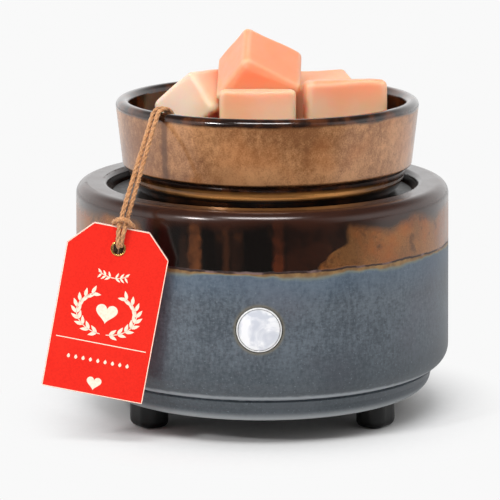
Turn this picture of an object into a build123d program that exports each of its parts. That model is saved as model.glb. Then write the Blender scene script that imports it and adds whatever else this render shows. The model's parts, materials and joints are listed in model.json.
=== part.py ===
from build123d import *
import math
import os

# Electric wax melt warmer: a stoneware base with a heating plate, a loose dish of wax and a gift tag.
# Millimetres, +Z up, z = 0 on the table, the button faces -Y.

os.makedirs("parts", exist_ok=True)

# Driving dimensions of the stoneware base
base_radius = 68.0
base_belly = 0.6
base_height = 76.0
base_wall = 5.8
foot_height = 9.0
shoulder_radius = 4.2
rim_width = 11.4
rim_inner_round = 1.8
wall_turn_radius = 7.5
wall_turn_angle = 64.0
tier_inset = 4.6
tier_height = 7.8
tier_draft = 1.2
tier_flat = 0.3
groove_depth = 0.6
groove_width = 1.3
tier_wall = 6.9
ledge_width = 2.0
throat_height = 11.0
cavity_slope = 6.0
inside_round = 4.0

# Heating plate and what hangs below it
plate_depth = 4.0
plate_thickness = 2.0
plate_clearance = 1.6
plate_groove_radius = 30.0
plate_groove_width = 1.2
plate_groove_depth = 0.4
gasket_thickness = 0.5
gasket_width = 5.0
shelf_width = 9.6
shelf_thickness = 6.5
element_margin = 2.0
element_thickness = 3.5
pad_clearance = 0.5
pad_thickness = 1.5
strap_inset = 4.0
strap_width = 16.0
strap_thickness = 1.2
strap_screw_inset = 6.0
strap_screw_reach = 3.4
boss_radius = 3.5
thermostat_radius = 8.0
thermostat_height = 7.0
blade_length = 8.0
blade_width = 6.3
blade_thickness = 0.8
blade_spread = 4.0
fuse_radius = 2.0
fuse_length = 11.0
fuse_pin_radius = 0.5
fuse_pin_length = 4.0
clip_thickness = 0.5
clip_width = 4.0
clip_clearance = 0.1
shield_clearance = 3.0
shield_thickness = 0.8
shield_gap = 8.8
shield_window_radius = 11.0
shield_window_shift = 2.0
shield_window_drop = 13.0

# Screws and tie rods
screw_radius = 1.5
screw_head_radius = 2.8
screw_head_height = 1.8
screw_slot_width = 0.8
screw_slot_depth = 0.9
screw_slot_share = 1.3
screw_clearance = 0.1
rod_radius = 3.0
rod_clearance = 0.2
rod_collar_radius = 4.6
rod_collar_height = 2.0
rod_count = 3
rod_inset = 9.0
rod_first_angle = 90.0
rod_screw_reach = 8.0

# Bottom cover and feet
ledge_height = 4.0
cover_thickness = 3.0
cover_clearance = 0.5
vent_radius = 2.2
vent_count = 12
vent_inset = 14.0
foot_length = 14.0
foot_width = 11.5
foot_corner = 4.5
foot_edge_round = 2.5
foot_inset = 6.0
foot_azimuth = 54.0
foot_gap = 0.3
foot_boss_radius = 4.0
foot_stem_radius = 2.0
foot_stem_clearance = 0.1
foot_barb_radius = 2.7
foot_barb_height = 1.4

# Mains inlet grommet at the back
inlet_lift = 0.5
inlet_bore_radius = 3.2
inlet_body_radius = 6.0
inlet_flange_radius = 8.5
inlet_flange_thickness = 2.0
inlet_seat_depth = 1.4
inlet_inner_gap = 0.3
inlet_clearance = 0.2
inlet_round = 0.5

# Terminal block and wires inside
block_length = 24.0
block_width = 14.0
block_height = 10.0
block_gap = 1.0
block_inset = 8.0
terminal_radius = 2.6
terminal_depth = 1.5
terminal_spread = 6.0
wire_radius = 0.9

# Front button, its housing and its board
button_offset = -1.1
button_height = 35.1
housing_radius = 7.9
housing_wall = 0.5
housing_proud = 0.7
housing_clearance = 0.3
housing_lip_round = 0.3
housing_flange_width = 4.5
housing_flange_thickness = 2.0
housing_flange_gap = 0.12
housing_boss_radius = 2.2
housing_boss_offset = 1.8
housing_boss_length = 6.6
cap_clearance = 0.2
cap_crown = 0.7
cap_face_thickness = 2.2
cap_skirt_depth = 6.5
cap_skirt_wall = 1.2
cap_travel = 1.5
cap_stem_radius = 2.0
board_width = 30.0
board_height = 24.0
board_thickness = 1.6
switch_width = 12.0
switch_depth = 5.5
plunger_radius = 1.7
plunger_clearance = 0.06
plunger_reach = 2.5
plunger_engaged = 1.5
plunger_spare = 1.2
led_radius = 1.5
led_length = 4.0
led_gap = 0.5
led_dome = 1.2
board_screw_radius = 1.1
board_screw_head_radius = 2.1
board_screw_head_height = 1.6
board_screw_reach = 4.5
board_screw_clearance = 0.1

# Wax dish
dish_offset = 1.8
dish_height = 34.2
dish_inset = 9.5
dish_foot_width = 5.5
dish_foot_height = 6.0
dish_bead_width = 5.2
dish_bead_height = 9.2
dish_step_width = 2.1
dish_step_height = 1.0
dish_edge_round = 1.0
dish_flare = 2.3
dish_wall = 3.2
dish_bore_flare = 0.5
dish_floor_thickness = 8.0
dish_floor_round = 2.5
dish_rim_flat = 0.3

# Wax melts: tapered cubes from one mould, whose sizes differ a little
melt_clearance = 3.0
melt_width_share = 0.6
melt_height_share = 0.7332
melt_draft_share = 0.0857
melt_edge_share = 0.0858

# Gift tag, eyelet and twine
tag_width = 35.7
tag_height = 60.6
tag_clip_width = 8.1
tag_clip_drop = 8.5
tag_thickness = 0.8
tag_corner_round = 0.8
tag_facing = 2.0
tag_lean = 10.7
tag_inset = 3.4
tag_side = -47.5
eyelet_height = 62.8
eyelet_drop = 7.6
eyelet_bore_radius = 2.0
eyelet_wall = 0.35
eyelet_roll = 0.35
eyelet_flange = 0.4
eyelet_clearance = 0.1
twine_radius = 0.85
knot_radius = 2.6
knot_rise = 10.4
knot_length = 3.4

# Overrun of every cutting tool past the face that it opens
overrun = 1.0

# Levels and radii worked out from the dimensions above
underside = foot_height
rim_top = underside + base_height
plate_top = rim_top - plate_depth
plate_bottom = plate_top - plate_thickness
rim_inner_radius = base_radius - rim_width
plate_radius = rim_inner_radius - plate_clearance
shelf_radius = rim_inner_radius - shelf_width
shelf_top = plate_bottom - gasket_thickness
shelf_bottom = shelf_top - shelf_thickness
cover_top = underside + ledge_height
cover_bottom = cover_top - cover_thickness
element_bottom = plate_bottom - element_thickness
pad_bottom = element_bottom - pad_thickness
strap_bottom = pad_bottom - strap_thickness
blade_tip = strap_bottom - thermostat_height - blade_length
shield_top = blade_tip - shield_gap
shield_bottom = shield_top - shield_thickness
shield_radius = shelf_radius - shield_clearance
cavity_radius = base_radius - base_wall
belly_radius = base_radius + base_belly
tier_radius = base_radius - tier_inset
tier_round = tier_wall - tier_draft - tier_flat
tier_bore_radius = tier_radius - tier_wall
throat_radius = tier_bore_radius - ledge_width
rod_circle_radius = shelf_radius - rod_inset
vent_circle_radius = rod_circle_radius - vent_inset
foot_circle_radius = tier_bore_radius - foot_inset
button_level = underside + button_height
inlet_level = underside + throat_height + cavity_slope + inlet_flange_radius + inlet_lift

# Stoneware base: one turned profile, with a hole for the button and a seated hole for the mains lead
tier_foot_radius = tier_radius - tier_draft
tier_top = underside + tier_height
turn_start_height = tier_top + groove_width
turn_drop = wall_turn_radius * math.sin(math.radians(wall_turn_angle))
turn_inset = wall_turn_radius * (1 - math.cos(math.radians(wall_turn_angle)))
turn_top = turn_start_height + turn_drop
with BuildPart() as ceramic_base:
    with BuildSketch(Plane.XZ):
        with BuildLine():
            Line((tier_bore_radius, underside), (tier_foot_radius - tier_round, underside))
            CenterArc((tier_foot_radius - tier_round, underside + tier_round), tier_round, -90, 90)
            Polyline(
                (tier_foot_radius, underside + tier_round),
                (tier_radius, tier_top),
                (tier_radius - groove_depth, tier_top + groove_width / 2),
                (belly_radius - turn_inset, turn_start_height),
            )
            CenterArc((belly_radius - wall_turn_radius, turn_top), wall_turn_radius,
                      -wall_turn_angle, wall_turn_angle)
            Line((belly_radius, turn_top), (base_radius, rim_top - shoulder_radius))
            CenterArc((base_radius - shoulder_radius, rim_top - shoulder_radius), shoulder_radius, 0, 90)
            Line((base_radius - shoulder_radius, rim_top), (rim_inner_radius + rim_inner_round, rim_top))
            CenterArc((rim_inner_radius + rim_inner_round, rim_top - rim_inner_round), rim_inner_round, 90, 90)
            Polyline(
                (rim_inner_radius, rim_top - rim_inner_round),
                (rim_inner_radius, shelf_top),
                (shelf_radius, shelf_top),
                (shelf_radius, shelf_bottom),
                (cavity_radius - inside_round, shelf_bottom),
            )
            CenterArc((cavity_radius - inside_round, shelf_bottom - inside_round), inside_round, 90, -90)
            Polyline(
                (cavity_radius, shelf_bottom - inside_round),
                (cavity_radius, underside + throat_height + cavity_slope),
                (throat_radius, underside + throat_height),
                (throat_radius, cover_top),
                (tier_bore_radius, cover_top),
                (tier_bore_radius, underside),
            )
        make_face()
    revolve(axis=Axis.Z)
    with BuildSketch(Plane.XZ.offset(throat_radius)):
        with Locations((button_offset, button_level)):
            Circle(housing_radius + housing_clearance)
    extrude(amount=belly_radius - throat_radius + overrun, mode=Mode.SUBTRACT)
    with BuildSketch(Plane.XZ.offset(-throat_radius)):
        with Locations((0, inlet_level)):
            Circle(inlet_body_radius + inlet_clearance)
    extrude(amount=throat_radius - belly_radius - overrun, mode=Mode.SUBTRACT)
    with BuildSketch(Plane.XZ.offset(inlet_seat_depth - belly_radius)):
        with Locations((0, inlet_level)):
            Circle(inlet_flange_radius + inlet_clearance)
    extrude(amount=-inlet_seat_depth - overrun, mode=Mode.SUBTRACT)
ceramic_base.part.label = "ceramic_base"
export_step(ceramic_base.part, "parts/ceramic_base.step")

# Strap, pad and element fit between the tie rods, and the pad between the strap's bosses
strap_length = 2 * (rod_circle_radius - strap_inset)
strap_screw_spread = strap_length / 2 - strap_screw_inset
pad_radius = strap_screw_spread - boss_radius - pad_clearance
element_radius = pad_radius - element_margin

# Heating plate: a flat disc with two bosses below for the strap
boss_length = element_thickness + pad_thickness
with BuildPart() as hot_plate:
    with BuildSketch(Plane.XY.offset(plate_bottom)):
        Circle(plate_radius)
    extrude(amount=plate_thickness)
    fillet(hot_plate.edges().group_by(Axis.Z)[-1], plate_thickness / 4)
    with BuildSketch(Plane.XY.offset(plate_top)):
        Circle(plate_groove_radius + plate_groove_width)
        Circle(plate_groove_radius, mode=Mode.SUBTRACT)
    extrude(amount=-plate_groove_depth, mode=Mode.SUBTRACT)
    with BuildSketch(Plane.XY.offset(plate_bottom)):
        with Locations((-strap_screw_spread, 0), (strap_screw_spread, 0)):
            Circle(boss_radius)
    extrude(amount=-boss_length)
    with BuildSketch(Plane.XY.offset(pad_bottom)):
        with Locations((-strap_screw_spread, 0), (strap_screw_spread, 0)):
            Circle(screw_radius + screw_clearance)
    extrude(amount=strap_screw_reach, mode=Mode.SUBTRACT)
hot_plate.part.label = "hot_plate"
export_step(hot_plate.part, "parts/hot_plate.step")

with BuildPart() as plate_gasket:
    with BuildSketch(Plane.XY.offset(shelf_top)):
        Circle(plate_radius)
        Circle(plate_radius - gasket_width, mode=Mode.SUBTRACT)
    extrude(amount=gasket_thickness)
plate_gasket.part.label = "plate_gasket"
export_step(plate_gasket.part, "parts/plate_gasket.step")

with BuildPart() as heating_element:
    with BuildSketch(Plane.XY.offset(element_bottom)):
        Circle(element_radius)
    extrude(amount=element_thickness)
heating_element.part.label = "heating_element"
export_step(heating_element.part, "parts/heating_element.step")

with BuildPart() as insulation_pad:
    with BuildSketch(Plane.XY.offset(pad_bottom)):
        Circle(pad_radius)
    extrude(amount=pad_thickness)
insulation_pad.part.label = "insulation_pad"
export_step(insulation_pad.part, "parts/insulation_pad.step")

# Strap that presses the element against the plate, and its two screws
with BuildPart() as element_strap:
    with BuildSketch(Plane.XY.offset(strap_bottom)):
        SlotOverall(strap_length, strap_width)
        with Locations((-strap_screw_spread, 0), (strap_screw_spread, 0)):
            Circle(screw_radius + screw_clearance, mode=Mode.SUBTRACT)
    extrude(amount=strap_thickness)
element_strap.part.label = "element_strap"
export_step(element_strap.part, "parts/element_strap.step")

with BuildPart() as strap_screws:
    with BuildSketch(Plane.XY.offset(strap_bottom - screw_head_height)):
        with Locations((-strap_screw_spread, 0), (strap_screw_spread, 0)):
            Circle(screw_head_radius)
    extrude(amount=screw_head_height)
    with BuildSketch(Plane.XY.offset(strap_bottom)):
        with Locations((-strap_screw_spread, 0), (strap_screw_spread, 0)):
            Circle(screw_radius)
    extrude(amount=strap_thickness + strap_screw_reach)
    with BuildSketch(Plane.XY.offset(strap_bottom - screw_head_height)):
        with Locations((-strap_screw_spread, 0), (strap_screw_spread, 0)):
            Rectangle(screw_head_radius * screw_slot_share, screw_slot_width)
            Rectangle(screw_slot_width, screw_head_radius * screw_slot_share)
    extrude(amount=screw_slot_depth, mode=Mode.SUBTRACT)
strap_screws.part.label = "strap_screws"
export_step(strap_screws.part, "parts/strap_screws.step")

# Thermostat under the strap, with its two blade terminals
with BuildPart() as thermostat:
    with BuildSketch(Plane.XY.offset(strap_bottom)):
        Circle(thermostat_radius)
    extrude(amount=-thermostat_height)
    with BuildSketch(Plane.XY.offset(strap_bottom - thermostat_height)):
        with Locations((-blade_spread, 0), (blade_spread, 0)):
            Rectangle(blade_thickness, blade_width)
    extrude(amount=-blade_length)
thermostat.part.label = "thermostat"
export_step(thermostat.part, "parts/thermostat.step")

# Thermal fuse and the saddle clip that holds it to the strap
fuse_level = strap_bottom - fuse_radius
fuse_offset = (thermostat_radius + strap_screw_spread - screw_head_radius) / 2
with BuildPart() as thermal_fuse:
    with BuildSketch(Plane.XZ.offset(-fuse_length / 2)):
        with Locations((-fuse_offset, fuse_level)):
            Circle(fuse_radius)
    extrude(amount=fuse_length)
    with BuildSketch(Plane.XZ.offset(-fuse_length / 2 - fuse_pin_length)):
        with Locations((-fuse_offset, fuse_level)):
            Circle(fuse_pin_radius)
    extrude(amount=fuse_length + 2 * fuse_pin_length)
thermal_fuse.part.label = "thermal_fuse"
export_step(thermal_fuse.part, "parts/thermal_fuse.step")

clip_bore = fuse_radius + clip_clearance
with BuildPart() as fuse_clip:
    with BuildSketch(Plane.XZ.offset(-clip_width / 2)):
        with Locations((-fuse_offset, fuse_level)):
            Circle(clip_bore + clip_thickness)
            Circle(clip_bore, mode=Mode.SUBTRACT)
            with Locations((0, fuse_radius)):
                Rectangle(4 * fuse_radius, 2 * fuse_radius, align=(Align.CENTER, Align.MIN), mode=Mode.SUBTRACT)
    extrude(amount=clip_width)
fuse_clip.part.label = "fuse_clip"
export_step(fuse_clip.part, "parts/fuse_clip.step")

# Tie rods that pull the plate down on the shelf and carry the heat shield on their collars
with BuildPart() as tie_rods:
    with BuildSketch(Plane.XY.offset(cover_top)):
        with PolarLocations(rod_circle_radius, rod_count, rod_first_angle):
            Circle(rod_radius)
    extrude(amount=plate_bottom - cover_top)
    with BuildSketch(Plane.XY.offset(shield_bottom)):
        with PolarLocations(rod_circle_radius, rod_count, rod_first_angle):
            Circle(rod_collar_radius)
    extrude(amount=-rod_collar_height)
    with BuildSketch(Plane.XY.offset(cover_top)):
        with PolarLocations(rod_circle_radius, rod_count, rod_first_angle):
            Circle(screw_radius + screw_clearance)
    extrude(amount=rod_screw_reach, mode=Mode.SUBTRACT)
tie_rods.part.label = "tie_rods"
export_step(tie_rods.part, "parts/tie_rods.step")

# Heat shield, with a window for the wires that rise from the terminal block beside the rear rod
block_x = -rod_radius - block_gap - block_length / 2
block_y = rod_circle_radius - block_inset
shield_window_x = block_x + shield_window_shift
shield_window_y = block_y - shield_window_drop
with BuildPart() as heat_shield:
    with BuildSketch(Plane.XY.offset(shield_bottom)):
        Circle(shield_radius)
        with PolarLocations(rod_circle_radius, rod_count, rod_first_angle):
            Circle(rod_radius + rod_clearance, mode=Mode.SUBTRACT)
        with Locations((shield_window_x, shield_window_y)):
            Circle(shield_window_radius, mode=Mode.SUBTRACT)
    extrude(amount=shield_thickness)
heat_shield.part.label = "heat_shield"
export_step(heat_shield.part, "parts/heat_shield.step")

# Bottom cover with its vents, screw holes and foot holes
foot_places = [Location((foot_circle_radius * math.cos(math.radians(angle)),
                         foot_circle_radius * math.sin(math.radians(angle))), angle + 90)
               for angle in (foot_azimuth - 90, 90 - foot_azimuth, foot_azimuth + 90, 270 - foot_azimuth)]
with BuildPart() as bottom_cover:
    with BuildSketch(Plane.XY.offset(cover_bottom)):
        Circle(tier_bore_radius - cover_clearance)
        with PolarLocations(vent_circle_radius, vent_count):
            Circle(vent_radius, mode=Mode.SUBTRACT)
        with PolarLocations(rod_circle_radius, rod_count, rod_first_angle):
            Circle(screw_radius + screw_clearance, mode=Mode.SUBTRACT)
        with Locations(*foot_places):
            Circle(foot_stem_radius + foot_stem_clearance, mode=Mode.SUBTRACT)
    extrude(amount=cover_thickness)
bottom_cover.part.label = "bottom_cover"
export_step(bottom_cover.part, "parts/bottom_cover.step")

with BuildPart() as cover_screws:
    with BuildSketch(Plane.XY.offset(cover_bottom - screw_head_height)):
        with PolarLocations(rod_circle_radius, rod_count, rod_first_angle):
            Circle(screw_head_radius)
    extrude(amount=screw_head_height)
    with BuildSketch(Plane.XY.offset(cover_bottom)):
        with PolarLocations(rod_circle_radius, rod_count, rod_first_angle):
            Circle(screw_radius)
    extrude(amount=cover_thickness + rod_screw_reach)
    with BuildSketch(Plane.XY.offset(cover_bottom - screw_head_height)):
        with PolarLocations(rod_circle_radius, rod_count, rod_first_angle):
            Rectangle(screw_head_radius * screw_slot_share, screw_slot_width)
            Rectangle(screw_slot_width, screw_head_radius * screw_slot_share)
    extrude(amount=screw_slot_depth, mode=Mode.SUBTRACT)
cover_screws.part.label = "cover_screws"
export_step(cover_screws.part, "parts/cover_screws.step")

# Four rubber feet: a rounded block, a seat boss and a barbed stem through the cover
with BuildPart() as rubber_feet:
    with BuildSketch(Plane.XY):
        with Locations(*foot_places):
            RectangleRounded(foot_length, foot_width, foot_corner)
    extrude(amount=underside - foot_gap)
    fillet(rubber_feet.edges().group_by(Axis.Z)[0], foot_edge_round)
    with BuildSketch(Plane.XY.offset(underside - foot_gap)):
        with Locations(*foot_places):
            Circle(foot_boss_radius)
    extrude(amount=cover_bottom - underside + foot_gap)
    with BuildSketch(Plane.XY.offset(cover_bottom)):
        with Locations(*foot_places):
            Circle(foot_stem_radius)
    extrude(amount=cover_thickness)
    with BuildSketch(Plane.XY.offset(cover_top)):
        with Locations(*foot_places):
            Circle(foot_barb_radius)
    extrude(amount=foot_barb_height)
rubber_feet.part.label = "rubber_feet"
export_step(rubber_feet.part, "parts/rubber_feet.step")

# Rubber grommet in the back wall, for the mains lead
inlet_outer = belly_radius - inlet_seat_depth
inlet_inner = math.sqrt(cavity_radius ** 2 - inlet_flange_radius ** 2) - inlet_inner_gap
with BuildPart() as inlet_grommet:
    with BuildSketch(Plane.XZ.offset(-inlet_inner)):
        with Locations((0, inlet_level)):
            Circle(inlet_body_radius)
    extrude(amount=inlet_inner - inlet_outer)
    with BuildSketch(Plane.XZ.offset(-inlet_outer)):
        with Locations((0, inlet_level)):
            Circle(inlet_flange_radius)
    extrude(amount=-inlet_flange_thickness)
    with BuildSketch(Plane.XZ.offset(-inlet_inner)):
        with Locations((0, inlet_level)):
            Circle(inlet_flange_radius)
    extrude(amount=inlet_flange_thickness)
    fillet(inlet_grommet.edges().group_by(Axis.Y)[-1], inlet_round)
    with BuildSketch(Plane.XZ.offset(-inlet_inner + inlet_flange_thickness + overrun)):
        with Locations((0, inlet_level)):
            Circle(inlet_bore_radius)
    extrude(amount=inlet_inner - inlet_outer - 2 * inlet_flange_thickness - 2 * overrun, mode=Mode.SUBTRACT)
inlet_grommet.part.label = "inlet_grommet"
export_step(inlet_grommet.part, "parts/inlet_grommet.step")

# Terminal block on the bottom cover, and its two brass terminals
with BuildPart() as terminal_block:
    with BuildSketch(Plane.XY.offset(cover_top)):
        with Locations((block_x, block_y)):
            Rectangle(block_length, block_width)
    extrude(amount=block_height)
    with BuildSketch(Plane.XY.offset(cover_top + block_height)):
        with Locations((block_x - terminal_spread, block_y), (block_x + terminal_spread, block_y)):
            Circle(terminal_radius)
    extrude(amount=-terminal_depth, mode=Mode.SUBTRACT)
terminal_block.part.label = "terminal_block"
export_step(terminal_block.part, "parts/terminal_block.step")

terminal_level = cover_top + block_height - terminal_depth
with BuildPart() as terminals:
    with BuildSketch(Plane.XY.offset(terminal_level)):
        with Locations((block_x - terminal_spread, block_y), (block_x + terminal_spread, block_y)):
            Circle(terminal_radius - screw_clearance)
    extrude(amount=terminal_depth)
terminals.part.label = "terminals"
export_step(terminals.part, "parts/terminals.step")


def largest_radii(points):
    # Each bend is as large as its two runs allow
    radii = []
    for before, corner, after in zip(points, points[1:], points[2:]):
        run_in = Vector(*corner) - Vector(*before)
        run_out = Vector(*after) - Vector(*corner)
        half_turn = math.radians(run_in.get_angle(run_out) / 2)
        radii.append(0.45 * min(run_in.length, run_out.length) / math.tan(half_turn))
    return radii


# Two wires from the terminals through the shield's window to the thermostat
wire_start = cover_top + block_height
with BuildPart() as lead_wires:
    for side in (-1, 1):
        wire_points = [
            (block_x + side * terminal_spread, block_y, wire_start),
            (block_x + side * terminal_spread, block_y, (wire_start + shield_bottom) / 2),
            (shield_window_x + side * blade_spread, shield_window_y, shield_bottom),
            (side * blade_spread, 0, (shield_top + blade_tip) / 2),
            (side * blade_spread, 0, blade_tip),
        ]
        with BuildLine():
            wire_path = FilletPolyline(*wire_points, radius=largest_radii(wire_points))
        with BuildSketch(Plane(origin=wire_path @ 0, z_dir=wire_path % 0)):
            Circle(wire_radius)
        sweep()
lead_wires.part.label = "lead_wires"
export_step(lead_wires.part, "parts/lead_wires.step")

# Button housing: a sleeve through the wall, a flange behind it and two bosses for the board
housing_bore_radius = housing_radius - housing_wall
housing_flange_radius = housing_radius + housing_flange_width
housing_boss_spread = housing_radius + housing_boss_offset
housing_front = base_radius + housing_proud
flange_reach = housing_flange_radius + abs(button_offset)
flange_front = math.sqrt(cavity_radius ** 2 - flange_reach ** 2) - housing_flange_gap
flange_back = flange_front - housing_flange_thickness
board_front = flange_back - housing_boss_length
board_back = board_front - board_thickness
boss_places = (
    (button_offset - housing_boss_spread, button_level),
    (button_offset + housing_boss_spread, button_level),
)
with BuildPart() as button_housing:
    with BuildSketch(Plane.XZ.offset(flange_back)):
        with Locations((button_offset, button_level)):
            Circle(housing_radius)
    extrude(amount=housing_front - flange_back)
    fillet(button_housing.edges().group_by(Axis.Y)[0], housing_lip_round)
    with BuildSketch(Plane.XZ.offset(flange_back)):
        with Locations((button_offset, button_level)):
            Circle(housing_flange_radius)
    extrude(amount=housing_flange_thickness)
    with BuildSketch(Plane.XZ.offset(flange_back)):
        with Locations(*boss_places):
            Circle(housing_boss_radius)
    extrude(amount=-housing_boss_length)
    with BuildSketch(Plane.XZ.offset(flange_back - overrun)):
        with Locations((button_offset, button_level)):
            Circle(housing_bore_radius)
    extrude(amount=housing_front - flange_back + 2 * overrun, mode=Mode.SUBTRACT)
    with BuildSketch(Plane.XZ.offset(board_front)):
        with Locations(*boss_places):
            Circle(board_screw_radius + board_screw_clearance)
    extrude(amount=board_screw_reach - board_thickness + board_screw_clearance, mode=Mode.SUBTRACT)
button_housing.part.label = "button_housing"
export_step(button_housing.part, "parts/button_housing.step")

# Translucent cap: a slightly crowned face, a skirt that slides in the sleeve and a stem
cap_radius = housing_bore_radius - cap_clearance
switch_front = board_front + switch_depth
stem_end = switch_front + plunger_reach
cap_back = housing_front - cap_face_thickness
button_plane = Plane(origin=(button_offset, 0, button_level))
with BuildPart() as button_cap:
    with BuildSketch(button_plane):
        with BuildLine():
            ThreePointArc(
                (0, -housing_front - cap_crown),
                (cap_radius / 2, -housing_front - cap_crown * 3 / 4),
                (cap_radius, -housing_front),
            )
            Polyline(
                (cap_radius, -housing_front),
                (cap_radius, cap_skirt_depth - housing_front),
                (cap_radius - cap_skirt_wall, cap_skirt_depth - housing_front),
                (cap_radius - cap_skirt_wall, -cap_back),
                (cap_stem_radius, -cap_back),
                (cap_stem_radius, -stem_end),
                (0, -stem_end),
                (0, -housing_front - cap_crown),
            )
        make_face()
    revolve(axis=Axis((button_offset, 0, button_level), (0, 1, 0)))
button_cap.part.label = "button_cap"
export_step(button_cap.part, "parts/button_cap.step")

with BuildPart() as switch_plunger:
    with BuildSketch(Plane.XZ.offset(switch_front - plunger_engaged)):
        with Locations((button_offset, button_level)):
            Circle(plunger_radius)
    extrude(amount=plunger_engaged + plunger_reach)
switch_plunger.part.label = "switch_plunger"
export_step(switch_plunger.part, "parts/switch_plunger.step")

with BuildPart() as switch_body:
    with BuildSketch(Plane.XZ.offset(board_front)):
        with Locations((button_offset, button_level)):
            RectangleRounded(switch_width, switch_width, switch_width / 12)
    extrude(amount=switch_depth)
    with BuildSketch(Plane.XZ.offset(switch_front - plunger_engaged - cap_travel - plunger_spare)):
        with Locations((button_offset, button_level)):
            Circle(plunger_radius + plunger_clearance)
    extrude(amount=plunger_engaged + cap_travel + plunger_spare + overrun, mode=Mode.SUBTRACT)
switch_body.part.label = "switch_body"
export_step(switch_body.part, "parts/switch_body.step")

led_offset = switch_width / 2 + led_gap + led_radius
led_places = ((button_offset, button_level - led_offset), (button_offset, button_level + led_offset))
with BuildPart() as indicator_leds:
    with BuildSketch(Plane.XZ.offset(board_front)):
        with Locations(*led_places):
            Circle(led_radius)
    extrude(amount=led_length)
    fillet(indicator_leds.edges().group_by(Axis.Y)[0], led_dome)
indicator_leds.part.label = "indicator_leds"
export_step(indicator_leds.part, "parts/indicator_leds.step")

with BuildPart() as control_board:
    with BuildSketch(Plane.XZ.offset(board_back)):
        with Locations((button_offset, button_level)):
            RectangleRounded(board_width, board_height, board_height / 12)
        with Locations(*boss_places):
            Circle(board_screw_radius + board_screw_clearance, mode=Mode.SUBTRACT)
    extrude(amount=board_thickness)
control_board.part.label = "control_board"
export_step(control_board.part, "parts/control_board.step")

with BuildPart() as board_screws:
    with BuildSketch(Plane.XZ.offset(board_back)):
        with Locations(*boss_places):
            Circle(board_screw_head_radius)
    extrude(amount=-board_screw_head_height)
    with BuildSketch(Plane.XZ.offset(board_back)):
        with Locations(*boss_places):
            Circle(board_screw_radius)
    extrude(amount=board_screw_reach)
    with BuildSketch(Plane.XZ.offset(board_back - board_screw_head_height)):
        with Locations(*boss_places):
            Rectangle(board_screw_head_radius * screw_slot_share, screw_slot_width)
            Rectangle(screw_slot_width, board_screw_head_radius * screw_slot_share)
    extrude(amount=screw_slot_depth, mode=Mode.SUBTRACT)
board_screws.part.label = "board_screws"
export_step(board_screws.part, "parts/board_screws.step")

# Wax dish: a turned profile on its own axis, which stands a little to one side of the base's axis
dish_foot_outer_radius = plate_radius - dish_inset
dish_foot_inner_radius = dish_foot_outer_radius - dish_foot_width
dish_bead_radius = dish_foot_outer_radius + dish_bead_width
dish_wall_foot_radius = dish_bead_radius + dish_step_width
dish_wall_foot_height = dish_bead_height + dish_step_height
dish_rim_radius = dish_wall_foot_radius + dish_flare
dish_bore_radius = dish_wall_foot_radius - dish_wall
dish_rim_bore_radius = dish_bore_radius + dish_bore_flare
dish_rim_round = (dish_rim_radius - dish_rim_bore_radius - dish_rim_flat) / 2
dish_floor_height = dish_foot_height + dish_floor_thickness
dish_axis = Axis((dish_offset, 0, 0), (0, 0, 1))
dish_plane = Plane(origin=(dish_offset, 0, plate_top), x_dir=(1, 0, 0), z_dir=(0, -1, 0))
bead_middle_shares = (0.78, 0.55)
bead_middle = (dish_foot_outer_radius + bead_middle_shares[0] * (dish_bead_radius - dish_foot_outer_radius),
               bead_middle_shares[1] * dish_bead_height)
with BuildPart() as wax_dish:
    with BuildSketch(dish_plane):
        with BuildLine():
            Line((dish_foot_inner_radius, 0), (dish_foot_outer_radius, 0))
            ThreePointArc((dish_foot_outer_radius, 0), bead_middle, (dish_bead_radius, dish_bead_height))
            Line((dish_bead_radius, dish_bead_height),
                 (dish_wall_foot_radius - dish_edge_round, dish_wall_foot_height))
            CenterArc((dish_wall_foot_radius - dish_edge_round, dish_wall_foot_height + dish_edge_round),
                      dish_edge_round, -90, 90)
            Line((dish_wall_foot_radius, dish_wall_foot_height + dish_edge_round),
                 (dish_rim_radius, dish_height - dish_rim_round))
            CenterArc((dish_rim_radius - dish_rim_round, dish_height - dish_rim_round), dish_rim_round, 0, 90)
            Line((dish_rim_radius - dish_rim_round, dish_height),
                 (dish_rim_bore_radius + dish_rim_round, dish_height))
            CenterArc((dish_rim_bore_radius + dish_rim_round, dish_height - dish_rim_round),
                      dish_rim_round, 90, 90)
            Line((dish_rim_bore_radius, dish_height - dish_rim_round),
                 (dish_bore_radius, dish_floor_height + dish_floor_round))
            CenterArc((dish_bore_radius - dish_floor_round, dish_floor_height + dish_floor_round),
                      dish_floor_round, 0, -90)
            Polyline(
                (dish_bore_radius - dish_floor_round, dish_floor_height),
                (0, dish_floor_height),
                (0, dish_foot_height),
                (dish_foot_inner_radius, dish_foot_height),
                (dish_foot_inner_radius, 0),
            )
        make_face()
    revolve(axis=dish_axis)
wax_dish.part.label = "wax_dish"
export_step(wax_dish.part, "parts/wax_dish.step")

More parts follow.
